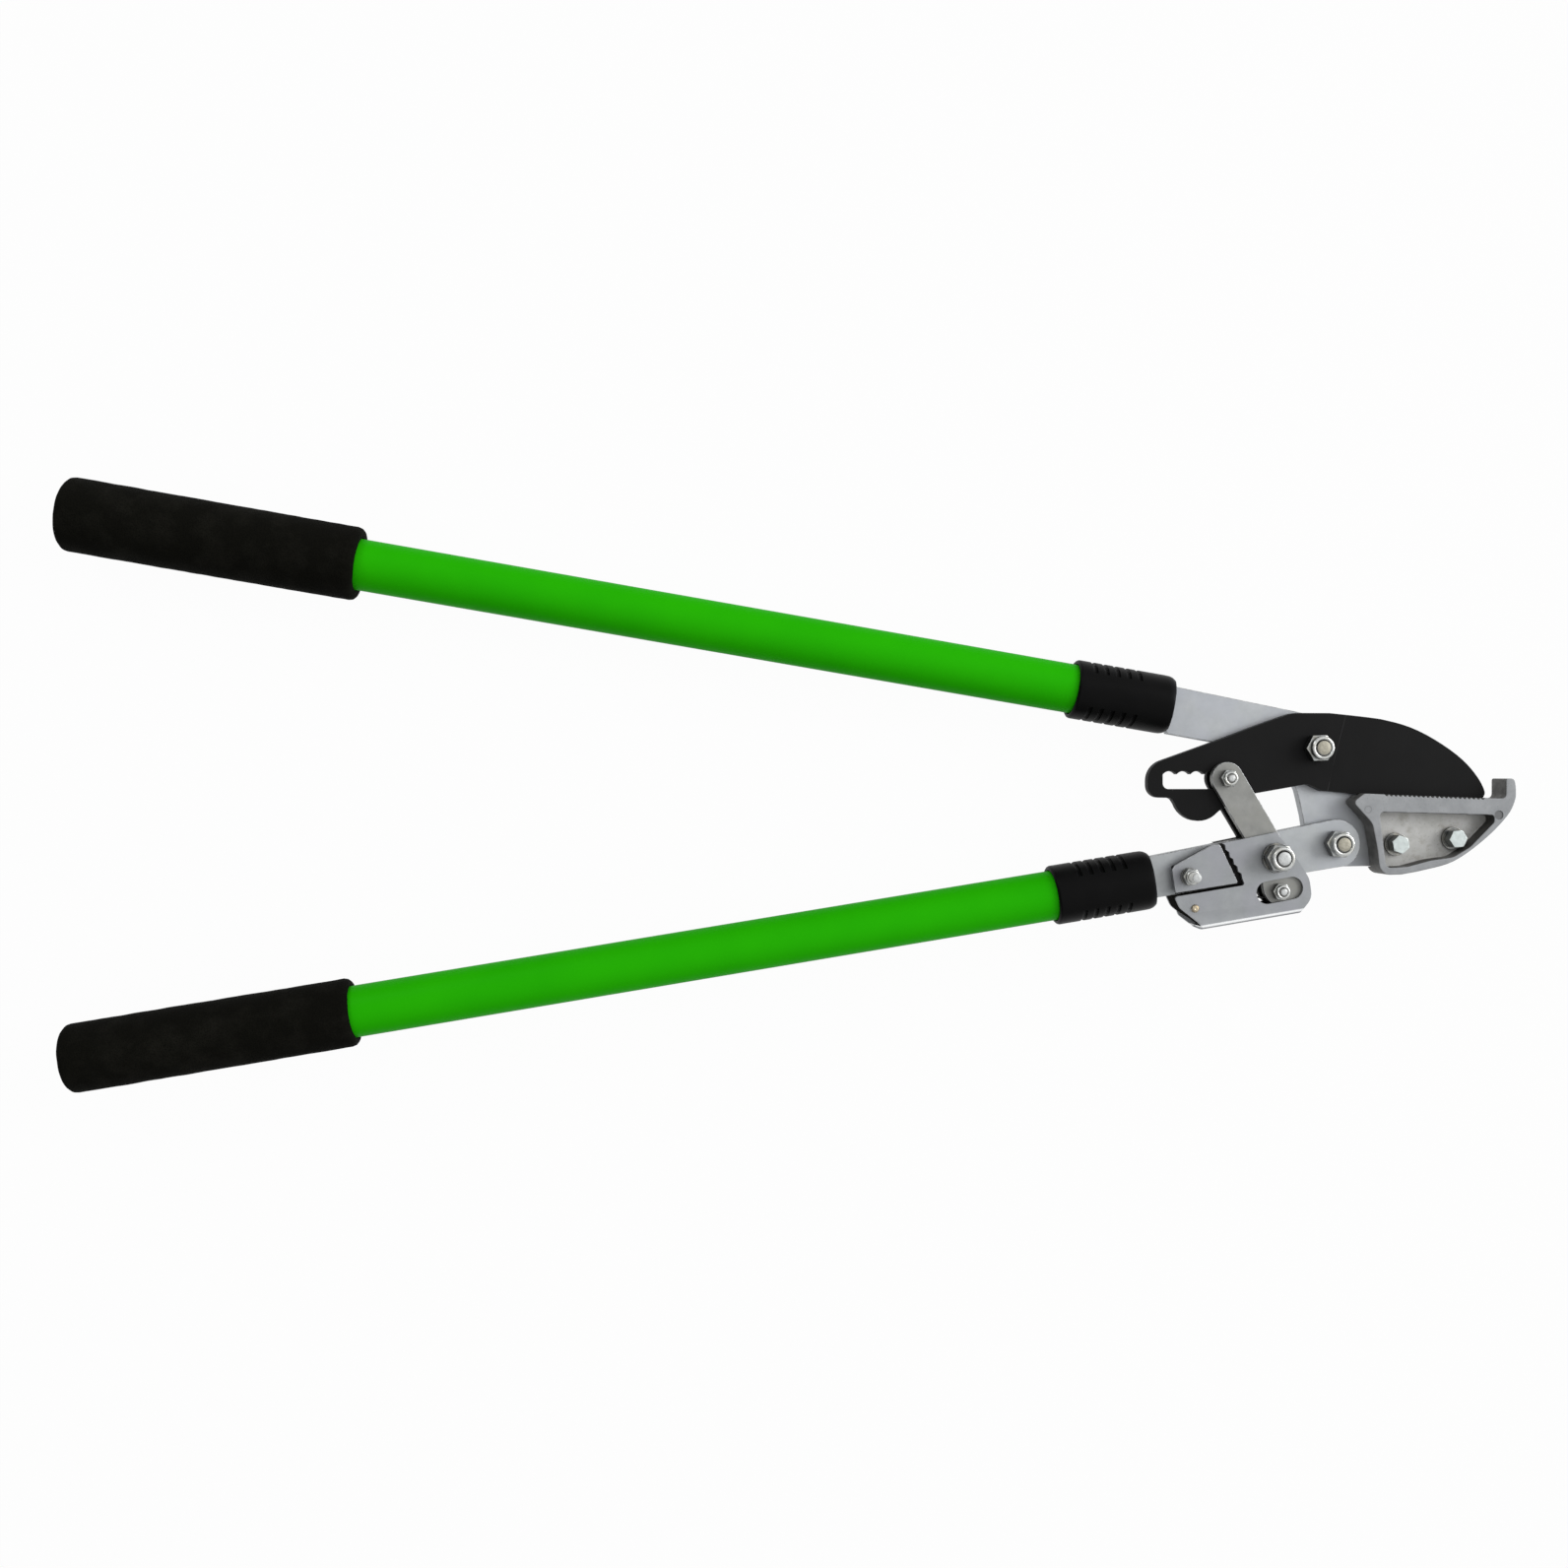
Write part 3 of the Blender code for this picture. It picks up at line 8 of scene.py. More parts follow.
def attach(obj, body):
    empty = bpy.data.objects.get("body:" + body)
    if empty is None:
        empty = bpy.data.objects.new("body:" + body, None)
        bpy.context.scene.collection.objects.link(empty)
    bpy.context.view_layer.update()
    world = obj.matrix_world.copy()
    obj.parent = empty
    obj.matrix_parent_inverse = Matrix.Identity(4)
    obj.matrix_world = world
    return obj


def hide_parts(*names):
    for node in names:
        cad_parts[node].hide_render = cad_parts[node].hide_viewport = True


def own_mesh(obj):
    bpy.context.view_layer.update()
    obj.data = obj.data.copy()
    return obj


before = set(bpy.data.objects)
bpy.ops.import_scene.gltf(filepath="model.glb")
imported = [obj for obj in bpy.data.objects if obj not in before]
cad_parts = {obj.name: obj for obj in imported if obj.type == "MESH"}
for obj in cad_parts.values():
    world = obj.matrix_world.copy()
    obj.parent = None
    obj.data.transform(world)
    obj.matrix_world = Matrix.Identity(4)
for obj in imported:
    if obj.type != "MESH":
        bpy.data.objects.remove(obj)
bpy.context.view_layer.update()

# The tool's own measures, in metres, as in the solids
UPPER_ANGLE = math.radians(-9.39)
LOWER_ANGLE = math.radians(8.85)
HANDLE_PIVOT = Vector((0.0106, -0.0491, 0.0))
UPPER_AXIS = (0.0091, 0.0081)
LOWER_AXIS = (-0.0024, 0.01315)
TUBE_RADIUS = 0.0125
TUBE_WALL = 0.0012
COLLAR_RADIUS = 0.0150
COLLAR_LENGTH = 0.0522
UPPER_MOUTH = -0.0776
LOWER_MOUTH = -0.0988
UPPER_GRIP = {"start": -0.4889, "length": 0.1401, "radius": 0.0180}
LOWER_GRIP = {"start": -0.4997, "length": 0.1358, "radius": 0.0167}
GRIP_END_WALL = 0.0060
COLLAR_END_WALL = 0.0035
SEAT = 0.0003

# Where finishes change: the grind's line, two foundry marks, the anvil's top, and its pocket, whose walls
# take the deepest painted shade
GRIND_LINE = ((0.01521, 0.01599), (0.00587, -0.02192))
GATE_MARK = (0.0944, -0.03435)
PIN_MARK = (0.0243, -0.0314)
ANVIL_TOP = (0.0195, 0.0207)
POCKET_CORNERS = ((0.0305, -0.0320), (0.0335, -0.0622), (0.0585, -0.0590),
                  (0.0800, -0.0515), (0.0930, -0.0375), (0.0930, -0.0325))
POCKET_SIDES = tuple(zip(POCKET_CORNERS, POCKET_CORNERS[1:] + POCKET_CORNERS[:1]))


# Frames of the two handles

def upper_place():
    """Where the upper handle's axis lies: along local X, from the pivot."""
    return Matrix.Rotation(UPPER_ANGLE, 4, "Z") @ Matrix.Translation((0, UPPER_AXIS[0], UPPER_AXIS[1]))


def lower_place():
    """Where the lower handle's axis lies."""
    turn = Matrix.Translation(HANDLE_PIVOT) @ Matrix.Rotation(LOWER_ANGLE, 4, "Z")
    return turn @ Matrix.Translation((0, LOWER_AXIS[0], LOWER_AXIS[1]))


def from_lower(x, y):
    """A point of the lower handle's frame, in the tool's plane."""
    point = HANDLE_PIVOT + Matrix.Rotation(LOWER_ANGLE, 3, "Z") @ Vector((x, y, 0.0))
    return (point.x, point.y)


def along_handle(place):
    """Turns a piece made upright so that its Z runs along the handle's X."""
    return place @ Matrix.Rotation(math.pi / 2, 4, "Y")


# Finishes

class Tone:
    """A socket of a finish, worked with as plain arithmetic."""

    def __init__(self, wiring, socket):
        self.wiring = wiring
        self.socket = socket

    def worked(self, operation, first, second):
        return self.wiring.node("ShaderNodeMath", {"operation": operation}, {0: first, 1: second})

    def __add__(self, other):
        return self.worked("ADD", self, other)

    def __radd__(self, other):
        return self.worked("ADD", other, self)

    def __sub__(self, other):
        return self.worked("SUBTRACT", self, other)

    def __rsub__(self, other):
        return self.worked("SUBTRACT", other, self)

    def __mul__(self, other):
        return self.worked("MULTIPLY", self, other)

    def __rmul__(self, other):
        return self.worked("MULTIPLY", other, self)


class Wiring:
    """A node tree, and the one way in which nodes are added to it."""

    def __init__(self, tree):
        self.tree = tree

    def join(self, socket, value):
        """Sets a socket to a number or colour, or links it."""
        if isinstance(value, Tone):
            self.tree.links.new(value.socket, socket)
        elif isinstance(value, tuple) and len(value) == 3 and socket.type == "RGBA":
            socket.default_value = (*value, 1.0)
        else:
            socket.default_value = value

    def node(self, kind, settings=None, values=None, output=0):
        """A node with its settings, then its sockets; gives one of its outputs."""
        made = self.tree.nodes.new(kind)
        for key, value in (settings or {}).items():
            setattr(made, key, value)
        for socket, value in (values or {}).items():
            self.join(made.inputs[socket], value)
        return Tone(self, made.outputs[output])

    def ray(self, kind):
        """1 for rays of that kind, 0 for the rest."""
        return self.node("ShaderNodeLightPath", output=f"Is {kind} Ray")

    def larger(self, first, second):
        """The larger of two values."""
        return self.node("ShaderNodeMath", {"operation": "MAXIMUM"}, {0: first, 1: second})


class Finish(Wiring):
    """One material and the nodes behind it."""

    def __init__(self, name, roughness=0.5, metallic=0.0, gloss=0.5):
        self.material = bpy.data.materials.new(name)
        self.material.use_nodes = True
        super().__init__(self.material.node_tree)
        self.shader = self.tree.nodes["Principled BSDF"]
        self.set("Roughness", roughness)
        self.set("Metallic", metallic)
        self.set("Specular IOR Level", gloss)

    def set(self, socket, value):
        """Sets or links a socket of the shader."""
        self.join(self.shader.inputs[socket], value)

    def here(self):
        """The point on the piece, in the tool's own frame."""
        return self.node("ShaderNodeTexCoord", output="Object")

    def part(self, vector, axis):
        """One coordinate of a vector: X (0), Y (1) or Z (2)."""
        return self.node("ShaderNodeSeparateXYZ", None, {"Vector": vector}, output=axis)

    def unsigned(self, value):
        """The value without its sign."""
        return self.node("ShaderNodeMath", {"operation": "ABSOLUTE"}, {0: value})

    def place(self, stretch=(1.0, 1.0, 1.0), turn=0.0):
        """The point on the piece, turned and stretched for a brushed or rolled pattern."""
        turned_point = self.node("ShaderNodeMapping", None,
                                 {"Vector": self.here(), "Rotation": (0.0, 0.0, turn)})
        return self.node("ShaderNodeMapping", None, {"Vector": turned_point, "Scale": stretch})

    def grain(self, size, detail=3.0, rough=0.55, place=None):
        """Noise with lumps of about that size in metres, from 0 to 1."""
        return self.node("ShaderNodeTexNoise", None, {
            "Vector": place or self.place(), "Scale": 1.0 / size, "Detail": detail, "Roughness": rough})

    def cells(self, size):
        """Distance from the middle of cells of about that size."""
        return self.node("ShaderNodeTexVoronoi", None, {"Vector": self.place(), "Scale": 1.0 / size})

    def between(self, value, low, high, start=0.0, end=1.0):
        """The value spread from low..high to start..end, and held there."""
        return self.node("ShaderNodeMapRange", {"clamp": True}, {
            "Value": value, "From Min": low, "From Max": high, "To Min": start, "To Max": end})

    def spread(self, noise):
        """The noise's middle range spread from 0 to 1."""
        return self.between(noise, 0.3, 0.7)

    def beside(self, first, second):
        """How far the point lies left of the line through two points in the tool's plane."""
        angle = math.atan2(second[1] - first[1], second[0] - first[0])
        moved = self.node("ShaderNodeVectorMath", {"operation": "SUBTRACT"},
                          {0: self.here(), 1: (*first, 0.0)})
        level = self.node("ShaderNodeVectorRotate", {"rotation_type": "Z_AXIS"},
                          {"Vector": moved, "Angle": -angle})
        return self.part(level, 1)

    def inside(self, sides, fade=0.0003):
        """1 inside an outline of lines, each a pair of points with the inside on its left."""
        share = 1.0
        for first, second in sides:
            share = self.between(self.beside(first, second), 0.0, fade) * share
        return share

    def facing(self, axis):
        """How far the surface faces along X (0), Y (1) or Z (2), from -1 to 1."""
        return self.part(self.node("ShaderNodeTexCoord", output="Normal"), axis)

    def steep(self):
        """1 on walls that stand upright, 0 on faces that lie flat."""
        return self.between(self.unsigned(self.facing(2)), 0.35, 0.85, 1.0, 0.0)

    def height(self):
        """The point's height in the tool's own frame."""
        return self.part(self.here(), 2)

    def along_line(self, first, second, half_width):
        """1 on the line through two points, fading to 0 at half_width."""
        off = self.unsigned(self.beside(first, second))
        return self.between(off, half_width * 0.3, half_width, 1.0, 0.0)

    def near(self, spot, core, rim):
        """1 within the core radius round a spot in the tool's plane, fading to 0 at the rim."""
        flat = self.node("ShaderNodeVectorMath", {"operation": "MULTIPLY"},
                         {0: self.here(), 1: (1.0, 1.0, 0.0)})
        off = self.node("ShaderNodeVectorMath", {"operation": "DISTANCE"}, {0: flat, 1: (*spot, 0.0)},
                        output="Value")
        return self.between(off, core, rim, 1.0, 0.0)

    def mix(self, share, first, second):
        """One colour turning into another."""
        return self.node("ShaderNodeMix", {"data_type": "RGBA"}, {0: share, 6: first, 7: second}, output=2)

    def bump(self, height, depth, strength=1.0, before=None):
        """A relief that is depth metres deep."""
        values = {"Height": height, "Distance": depth, "Strength": strength}
        if before:
            values["Normal"] = before
        return self.node("ShaderNodeBump", None, values)


def painted_hollow_shade():
    """Painted shade for the housing's inside: near black and mottled."""
    f = Finish("greased_inside", metallic=0.2, gloss=0.15)
    shade_share = f.grain(0.003, 4.0, 0.6)
    f.set("Base Color", f.mix(shade_share, (0.010, 0.009, 0.007), (0.030, 0.028, 0.024)))
    f.set("Roughness", 0.45 + 0.3 * shade_share)
    f.set("Normal", f.bump(shade_share, 0.0001, 0.4))
    return f.material


def green_paint():
    """Gloss enamel on the tubes, with a faint orange peel and a few paler rubs."""
    f = Finish("green_enamel", gloss=0.035)
    peel = f.grain(0.0016, 2.0)
    cloud = f.grain(0.045, 3.0)
    rub = f.between(f.grain(0.006, 6.0, 0.7), 0.66, 0.78)
    deep = f.mix(f.spread(cloud), (0.0150, 0.395, 0.0), (0.0185, 0.430, 0.0))
    f.set("Base Color", f.mix(rub * 0.35, deep, (0.030, 0.47, 0.006)))
    f.set("Roughness", 0.42 + 0.08 * cloud + 0.10 * rub)
    f.set("Normal", f.bump(peel, 0.00004, 0.5))
    return f.material


def foam():
    """Closed-cell foam of the grips: fine pores, soft lumps and a dull scuffed skin."""
    f = Finish("black_foam", gloss=0.05)
    pores = f.cells(0.0007)
    crumbs = f.grain(0.0011, 4.0, 0.65)
    scuff = f.between(f.grain(0.012, 5.0, 0.6), 0.45, 0.75)
    base = f.mix(scuff, (0.0042, 0.0041, 0.0029), (0.0088, 0.0085, 0.0064))
    f.set("Base Color", f.mix(f.between(pores, 0.05, 0.55), (0.0020, 0.0020, 0.0016), base))
    f.set("Roughness", 0.93 - 0.08 * scuff)
    f.set("Normal", f.bump(pores, 0.00022, 0.55, f.bump(crumbs, 0.0003, 0.45)))
    return f.material


def black_plastic():
    """Moulded plastic of the collars, with the fine grain of the mould and a painted highlight: paler on
    faces turned to +X, where the key light falls, as on the rounded mouth.
    """
    f = Finish("moulded_plastic", gloss=0.06)
    skin = f.grain(0.0005, 2.0)
    cloud = f.grain(0.010, 3.0)
    plain = f.mix(cloud, (0.0022, 0.0022, 0.0023), (0.0042, 0.0042, 0.0043))
    # Painted highlight: faces turned towards +X, where the key light falls, are paler, as on the rounded
    # mouth.
    f.set("Base Color", f.mix(f.between(f.facing(0), 0.12, 0.55), plain, (0.017, 0.018, 0.021)))
    f.set("Roughness", 0.34 + 0.10 * cloud)
    f.set("Normal", f.bump(skin, 0.00003, 0.5))
    return f.material


SHEET_GRAIN = 0.0016


def zinc(name, pale, dark, cool, turn, shaded_under=(), fold_highlight=None):
    """Rolled steel sheet in satin zinc: mottled, faintly lined, bluish in patches; painted shade where other
    sheets lie over it, and rubbed smoother along a fold with a painted highlight there.
    """
    f = Finish(name, metallic=0.82, gloss=0.5)
    mottle = f.grain(SHEET_GRAIN * 4, 5.0, 0.6)
    fine = f.grain(SHEET_GRAIN / 3, 3.0)
    lines = f.grain(0.0009, 2.0, 0.5, f.place((0.05, 1.0, 1.0), turn))
    patch = f.between(f.grain(0.016, 2.0), 0.42, 0.68)
    sheet = f.mix(patch * 0.5, f.mix(f.spread(mottle), dark, pale), cool)
    rough = 0.44 + 0.12 * mottle + 0.06 * lines
    if shaded_under:
        # Painted shade: near black where the sheet lies in the shade of the sheets over it.
        shade_share = f.inside(shaded_under)
        sheet = f.mix(shade_share, sheet, (0.012, 0.011, 0.010))
        f.set("Metallic", 0.82 - 0.62 * shade_share)
    if fold_highlight:
        # Rubbed smoother along the fold, and a painted highlight: near white there.
        rubbed = f.along_line(*fold_highlight)
        sheet = f.mix(rubbed, sheet, (0.97, 0.98, 0.99))
        rough = rough - 0.28 * rubbed
    f.set("Base Color", sheet)
    f.set("Roughness", rough)
    f.set("Normal", f.bump(lines, 0.00003, 0.35, f.bump(fine, 0.00005, 0.4)))
    return f.material


def bright_zinc(name, dark, pale, walls):
    """Brighter zinc on nuts, bolts and washers: rubbed, yellowish in places, with painted shade on its
    upright walls.
    """
    f = Finish(name, metallic=0.92)
    mottle = f.grain(0.0022, 4.0, 0.6)
    rub = f.grain(0.0006, 3.0)
    warm = f.between(f.grain(0.005, 2.0), 0.4, 0.7)
    base = f.mix(f.spread(mottle), dark, pale)
    plated = f.mix(warm * 0.35, base, (0.62, 0.58, 0.47))
    # Painted shade: the upright walls darker, by the share walls.
    f.set("Base Color", f.mix(f.steep() * walls, plated, (0.06, 0.06, 0.06)))
    f.set("Roughness", 0.17 + 0.12 * mottle)
    f.set("Normal", f.bump(rub, 0.00002, 0.35))
    return f.material


def worn_edge(name, colour, rub_colour, metallic, roughness):
    """The rubbed edges of sheets and plates."""
    f = Finish(name, metallic=metallic)
    rub = f.grain(0.0030, 4.0, 0.7)
    f.set("Base Color", f.mix(f.between(rub, 0.35, 0.65), colour, rub_colour))
    f.set("Roughness", roughness + 0.15 * rub)
    f.set("Normal", f.bump(f.grain(0.0006, 2.0), 0.00002, 0.4))
    return f.material


def bolt_heads():
    """The anvil bolts' heads: paler, duller zinc, with painted shade on the flats of the hexes."""
    f = Finish("bolt_head_zinc")
    mottle = f.grain(0.0020, 4.0, 0.6)
    fine = f.grain(0.0006, 3.0)
    wall_shade = f.steep()
    top = f.mix(f.spread(mottle), (0.48, 0.53, 0.52), (0.62, 0.68, 0.67))
    # Painted shade on the hexes' upright flats.
    f.set("Base Color", f.mix(wall_shade * 0.85, top, (0.10, 0.10, 0.10)))
    f.set("Metallic", 0.35 + 0.55 * wall_shade)
    f.set("Roughness", 0.30 + 0.14 * mottle)
    f.set("Normal", f.bump(fine, 0.00003, 0.4))
    return f.material


def threads():
    """Oily steel of the threads, darker than the plated heads."""
    f = Finish("bolt_threads", metallic=0.9)
    oil = f.grain(0.0010, 4.0, 0.6)
    f.set("Base Color", f.mix(oil, (0.12, 0.12, 0.12), (0.34, 0.34, 0.33)))
    f.set("Roughness", 0.25 + 0.20 * oil)
    f.set("Normal", f.bump(f.grain(0.0004, 2.0), 0.00002, 0.4))
    return f.material


def bolt_end(name, dark, pale):
    """The rough end faces of the bolts."""
    f = Finish(name, metallic=0.55, gloss=0.3)
    bite = f.grain(0.0007, 4.0, 0.7)
    f.set("Base Color", f.mix(f.spread(bite), dark, pale))
    f.set("Roughness", 0.45 + 0.2 * bite)
    f.set("Normal", f.bump(bite, 0.00012, 0.6))
    return f.material


def casting():
    """The anvil: a sand-cast light alloy with an open grain, stained in its pocket, its top faces darker than
    its pocket floor, and painted shade on its upright walls, deepest in the pocket.
    """
    f = Finish("cast_anvil", metallic=0.35, gloss=0.35)
    grit = f.grain(0.0007, 4.0, 0.65)
    pits = f.between(f.cells(0.0016), 0.02, 0.22)
    cloud = f.grain(0.009, 4.0, 0.6)
    stain = f.between(f.grain(0.0065, 5.0, 0.65), 0.52, 0.74)
    floor = f.mix(f.spread(cloud), (0.40, 0.40, 0.38), (0.51, 0.51, 0.50))
    dirty = f.mix(stain * 0.65, floor, (0.245, 0.225, 0.185))
    face = f.mix(f.spread(cloud), (0.245, 0.254, 0.264), (0.320, 0.330, 0.340))
    level = f.mix(f.between(f.height(), *ANVIL_TOP), dirty, face)
    # Painted shade on the upright walls: dark outside the pocket, darker inside it.
    outer = f.mix(f.spread(cloud), (0.075, 0.075, 0.073), (0.205, 0.204, 0.198))
    inner = f.mix(f.spread(cloud), (0.022, 0.021, 0.019), (0.075, 0.073, 0.068))
    cast = f.mix(f.steep() * 0.92, level, f.mix(f.inside(POCKET_SIDES), outer, inner))
    grey = f.mix(pits, f.mix(0.55, cast, (0.16, 0.16, 0.155)), cast)
    mark = f.near(GATE_MARK, 0.0020, 0.0026)
    crescent = f.near(PIN_MARK, 0.0019, 0.0022) * (1.0 - f.near(PIN_MARK, 0.0014, 0.0017))
    f.set("Base Color", f.mix(mark * 0.7 + crescent * 0.35, grey, (0.10, 0.10, 0.10)))
    f.set("Roughness", 0.55 + 0.15 * grit)
    f.set("Normal", f.bump(pits - crescent, 0.00006, 0.35, f.bump(grit, 0.00012, 0.5)))
    return f.material


def blade_coating():
    """Non-stick coating on the blade: near black, even, with faint drag lines and specks."""
    f = Finish("blade_coating", gloss=0.08)
    drag = f.grain(0.0010, 3.0, 0.5, f.place((1.0, 0.04, 1.0)))
    speck = f.between(f.grain(0.0012, 5.0, 0.7), 0.66, 0.80)
    cloud = f.grain(0.020, 3.0)
    base = f.mix(cloud, (0.0058, 0.0058, 0.0059), (0.0090, 0.0090, 0.0091))
    line = f.along_line(*GRIND_LINE, 0.00022)
    worn = f.mix(speck, base, (0.024, 0.024, 0.025))
    f.set("Base Color", f.mix(line * 0.55, worn, (0.040, 0.040, 0.042)))
    f.set("Roughness", 0.40 + 0.10 * drag)
    f.set("Normal", f.bump(drag - line, 0.00004, 0.4))
    return f.material


def brass():
    """The spring rivet, dulled and rubbed."""
    f = Finish("brass", metallic=0.9)
    tarnish = f.grain(0.0016, 4.0, 0.6)
    f.set("Base Color", f.mix(f.spread(tarnish), (0.62, 0.56, 0.45), (0.32, 0.23, 0.10)))
    f.set("Roughness", 0.28 + 0.25 * tarnish)
    f.set("Normal", f.bump(f.grain(0.0005, 3.0), 0.00003, 0.5))
    return f.material


def spring_steel():
    """Drawn spring wire, dark between its die lines."""
    f = Finish("spring_steel", metallic=0.9)
    oil = f.grain(0.0020, 4.0, 0.6)
    f.set("Base Color", f.mix(oil, (0.045, 0.045, 0.046), (0.13, 0.13, 0.13)))
    f.set("Roughness", 0.24 + 0.20 * oil)
    f.set("Normal", f.bump(f.grain(0.0003, 2.0), 0.00002, 0.5))
    return f.material


def nylon(name, dark, pale):
    """Nylon of the lock nuts' rings and the plastic inside the tubes."""
    f = Finish(name, gloss=0.4)
    cloud = f.grain(0.0020, 3.0)
    f.set("Base Color", f.mix(cloud, dark, pale))
    f.set("Roughness", 0.42 + 0.15 * cloud)
    f.set("Normal", f.bump(f.grain(0.0004, 2.0), 0.00003, 0.4))
    return f.material


# Painted shade on the lower tang: under the left and upper edges of the pawl plate, and in the gap by the
# housing's teeth.
TANG_PAINTED_SHADE = (
    (from_lower(-0.0883, 0.0030), from_lower(-0.0883, -0.0140)),
    (from_lower(-0.0672, 0.0099), from_lower(-0.0876, 0.0029)),
    (from_lower(-0.0260, -0.0140), from_lower(-0.0365, 0.0116)))
# The painted highlight along the housing's bottom fold: a line and its half width.
HOUSING_FOLD_HIGHLIGHT = (from_lower(-0.0800, -0.0297), from_lower(-0.0200, -0.0297), 0.0009)
LINK_ROLLING = 1.0

FINISH = {
    "green": green_paint(),
    "foam": foam(),
    "plastic": black_plastic(),
    "root": zinc("root_zinc", (0.425, 0.440, 0.455), (0.360, 0.376, 0.389), (0.377, 0.393, 0.434),
                 UPPER_ANGLE),
    "tang": zinc("tang_zinc", (0.416, 0.432, 0.440), (0.352, 0.368, 0.376), (0.376, 0.392, 0.424),
                 -LOWER_ANGLE, shaded_under=TANG_PAINTED_SHADE),
    "link": zinc("link_zinc", (0.290, 0.292, 0.280), (0.225, 0.228, 0.218), (0.266, 0.266, 0.244),
                 LINK_ROLLING),
    "housing": zinc("housing_zinc", (0.333, 0.346, 0.356), (0.281, 0.293, 0.303), (0.311, 0.312, 0.346),
                    -LOWER_ANGLE, fold_highlight=HOUSING_FOLD_HIGHLIGHT),
    "bright": bright_zinc("bright_zinc", (0.50, 0.51, 0.50), (0.72, 0.74, 0.73), 0.25),
    "flats": bright_zinc("nut_flats_zinc", (0.26, 0.27, 0.27), (0.52, 0.54, 0.54), 0.85),
    "washer": bright_zinc("washer_zinc", (0.13, 0.13, 0.13), (0.30, 0.31, 0.31), 0.60),
    "zinc_edge": worn_edge("worn_zinc_edges", (0.20, 0.205, 0.21), (0.52, 0.53, 0.54), 0.85, 0.25),
    "blade_edge": worn_edge("worn_coating_edges", (0.008, 0.008, 0.008), (0.030, 0.030, 0.031), 0.2, 0.35),
    "head": bolt_heads(),
    "cast": casting(),
    "blade": blade_coating(),
    "brass": brass(),
    "spring": spring_steel(),
    "thread": threads(),
    "bolt_end": bolt_end("bolt_end_faces", (0.28, 0.265, 0.21), (0.45, 0.43, 0.36)),
    "pale_end": bolt_end("pale_bolt_end_faces", (0.42, 0.43, 0.43), (0.64, 0.66, 0.65)),
    "hollow": painted_hollow_shade(),
    "ring": nylon("nut_ring", (0.012, 0.013, 0.012), (0.035, 0.036, 0.032)),
    "bush": nylon("tube_plastic", (0.20, 0.20, 0.19), (0.27, 0.27, 0.26)),
}


# Modelling by hand

def fresh():
    """Leaves nothing selected and object mode on."""
    if bpy.context.object and bpy.context.object.mode != "OBJECT":
        bpy.ops.object.mode_set(mode="OBJECT")
    bpy.ops.object.select_all(action="DESELECT")


def pick(piece):
    """Makes the piece the only selected, active one."""
    fresh()
    piece.select_set(True)
    bpy.context.view_layer.objects.active = piece


def settle(piece, place=None):
    """Puts the piece in place and bakes that place into its mesh."""
    pick(piece)
    if place is not None:
        piece.matrix_world = place @ piece.matrix_world
    bpy.ops.object.transform_apply(location=True, rotation=True, scale=True)
    return piece


def stood(piece, centre, height=0.0):
    """Stands a piece that was made upright on Z at a centre in the tool's plane."""
    return settle(piece, Matrix.Translation((*centre, height)))


def modified(piece, kind, **settings):
    """Adds a modifier with these settings and applies it."""
    pick(piece)
    change = piece.modifiers.new(kind.lower(), kind)
    for key, value in settings.items():
        setattr(change, key, value)
    bpy.ops.object.modifier_apply(modifier=change.name)


def coat(piece, *finish_names):
    """Gives the piece these finishes and no others."""
    piece.data.materials.clear()
    for finish_name in finish_names:
        piece.data.materials.append(FINISH[finish_name])


def edit_all():
    """Opens edit mode with everything selected."""
    bpy.ops.object.mode_set(mode="EDIT")
    bpy.ops.mesh.select_all(action="SELECT")


def close_outwards():
    """Turns every face outwards and leaves edit mode."""
    bpy.ops.mesh.select_all(action="SELECT")
    bpy.ops.mesh.normals_make_consistent(inside=False)
    bpy.ops.object.mode_set(mode="OBJECT")


def select_faces(piece, indices):
    """Selects just these faces, ready for edit mode."""
    bpy.context.tool_settings.mesh_select_mode = (False, False, True)
    chosen = set(indices)
    for edge in piece.data.edges:
        edge.select = False
    for vertex in piece.data.vertices:
        vertex.select = False
    for face in piece.data.polygons:
        face.select = face.index in chosen
        if face.select:
            for number in face.vertices:
                piece.data.vertices[number].select = True


def turned(name, stations, sides):
    """A turned piece, upright on Z: the first (height, radius) ring extruded and resized to each next one."""
    fresh()
    height, radius = stations[0]
    bpy.ops.mesh.primitive_circle_add(vertices=sides, radius=radius, fill_type="NGON",
                                      location=(0, 0, height))
    piece = bpy.context.object
    piece.name = name
    bpy.ops.object.transform_apply(location=True)
    edit_all()
    for next_height, next_radius in stations[1:]:
        bpy.ops.mesh.extrude_region_move(
            TRANSFORM_OT_translate={"value": (0, 0, next_height - height), "orient_type": "GLOBAL"})
        share = next_radius / radius
        bpy.ops.transform.resize(value=(share, share, 1), center_override=(0, 0, next_height))
        height, radius = next_height, next_radius
    close_outwards()
    return piece


def bored(piece, stations, sides):
    """Cuts a turned bore out of the piece."""
    cut(piece, turned(piece.name + "_tool", stations, sides))


def cut(piece, tool, operation="DIFFERENCE"):
    """A Boolean with a tool that is thrown away."""
    modified(piece, "BOOLEAN", operation=operation, solver="EXACT", object=tool)
    bpy.data.objects.remove(tool)


def smoothed(piece, angle):
    """Smooth shading, except across edges sharper than the angle."""
    pick(piece)
    bpy.ops.object.shade_smooth_by_angle(angle=math.radians(angle))
    return piece


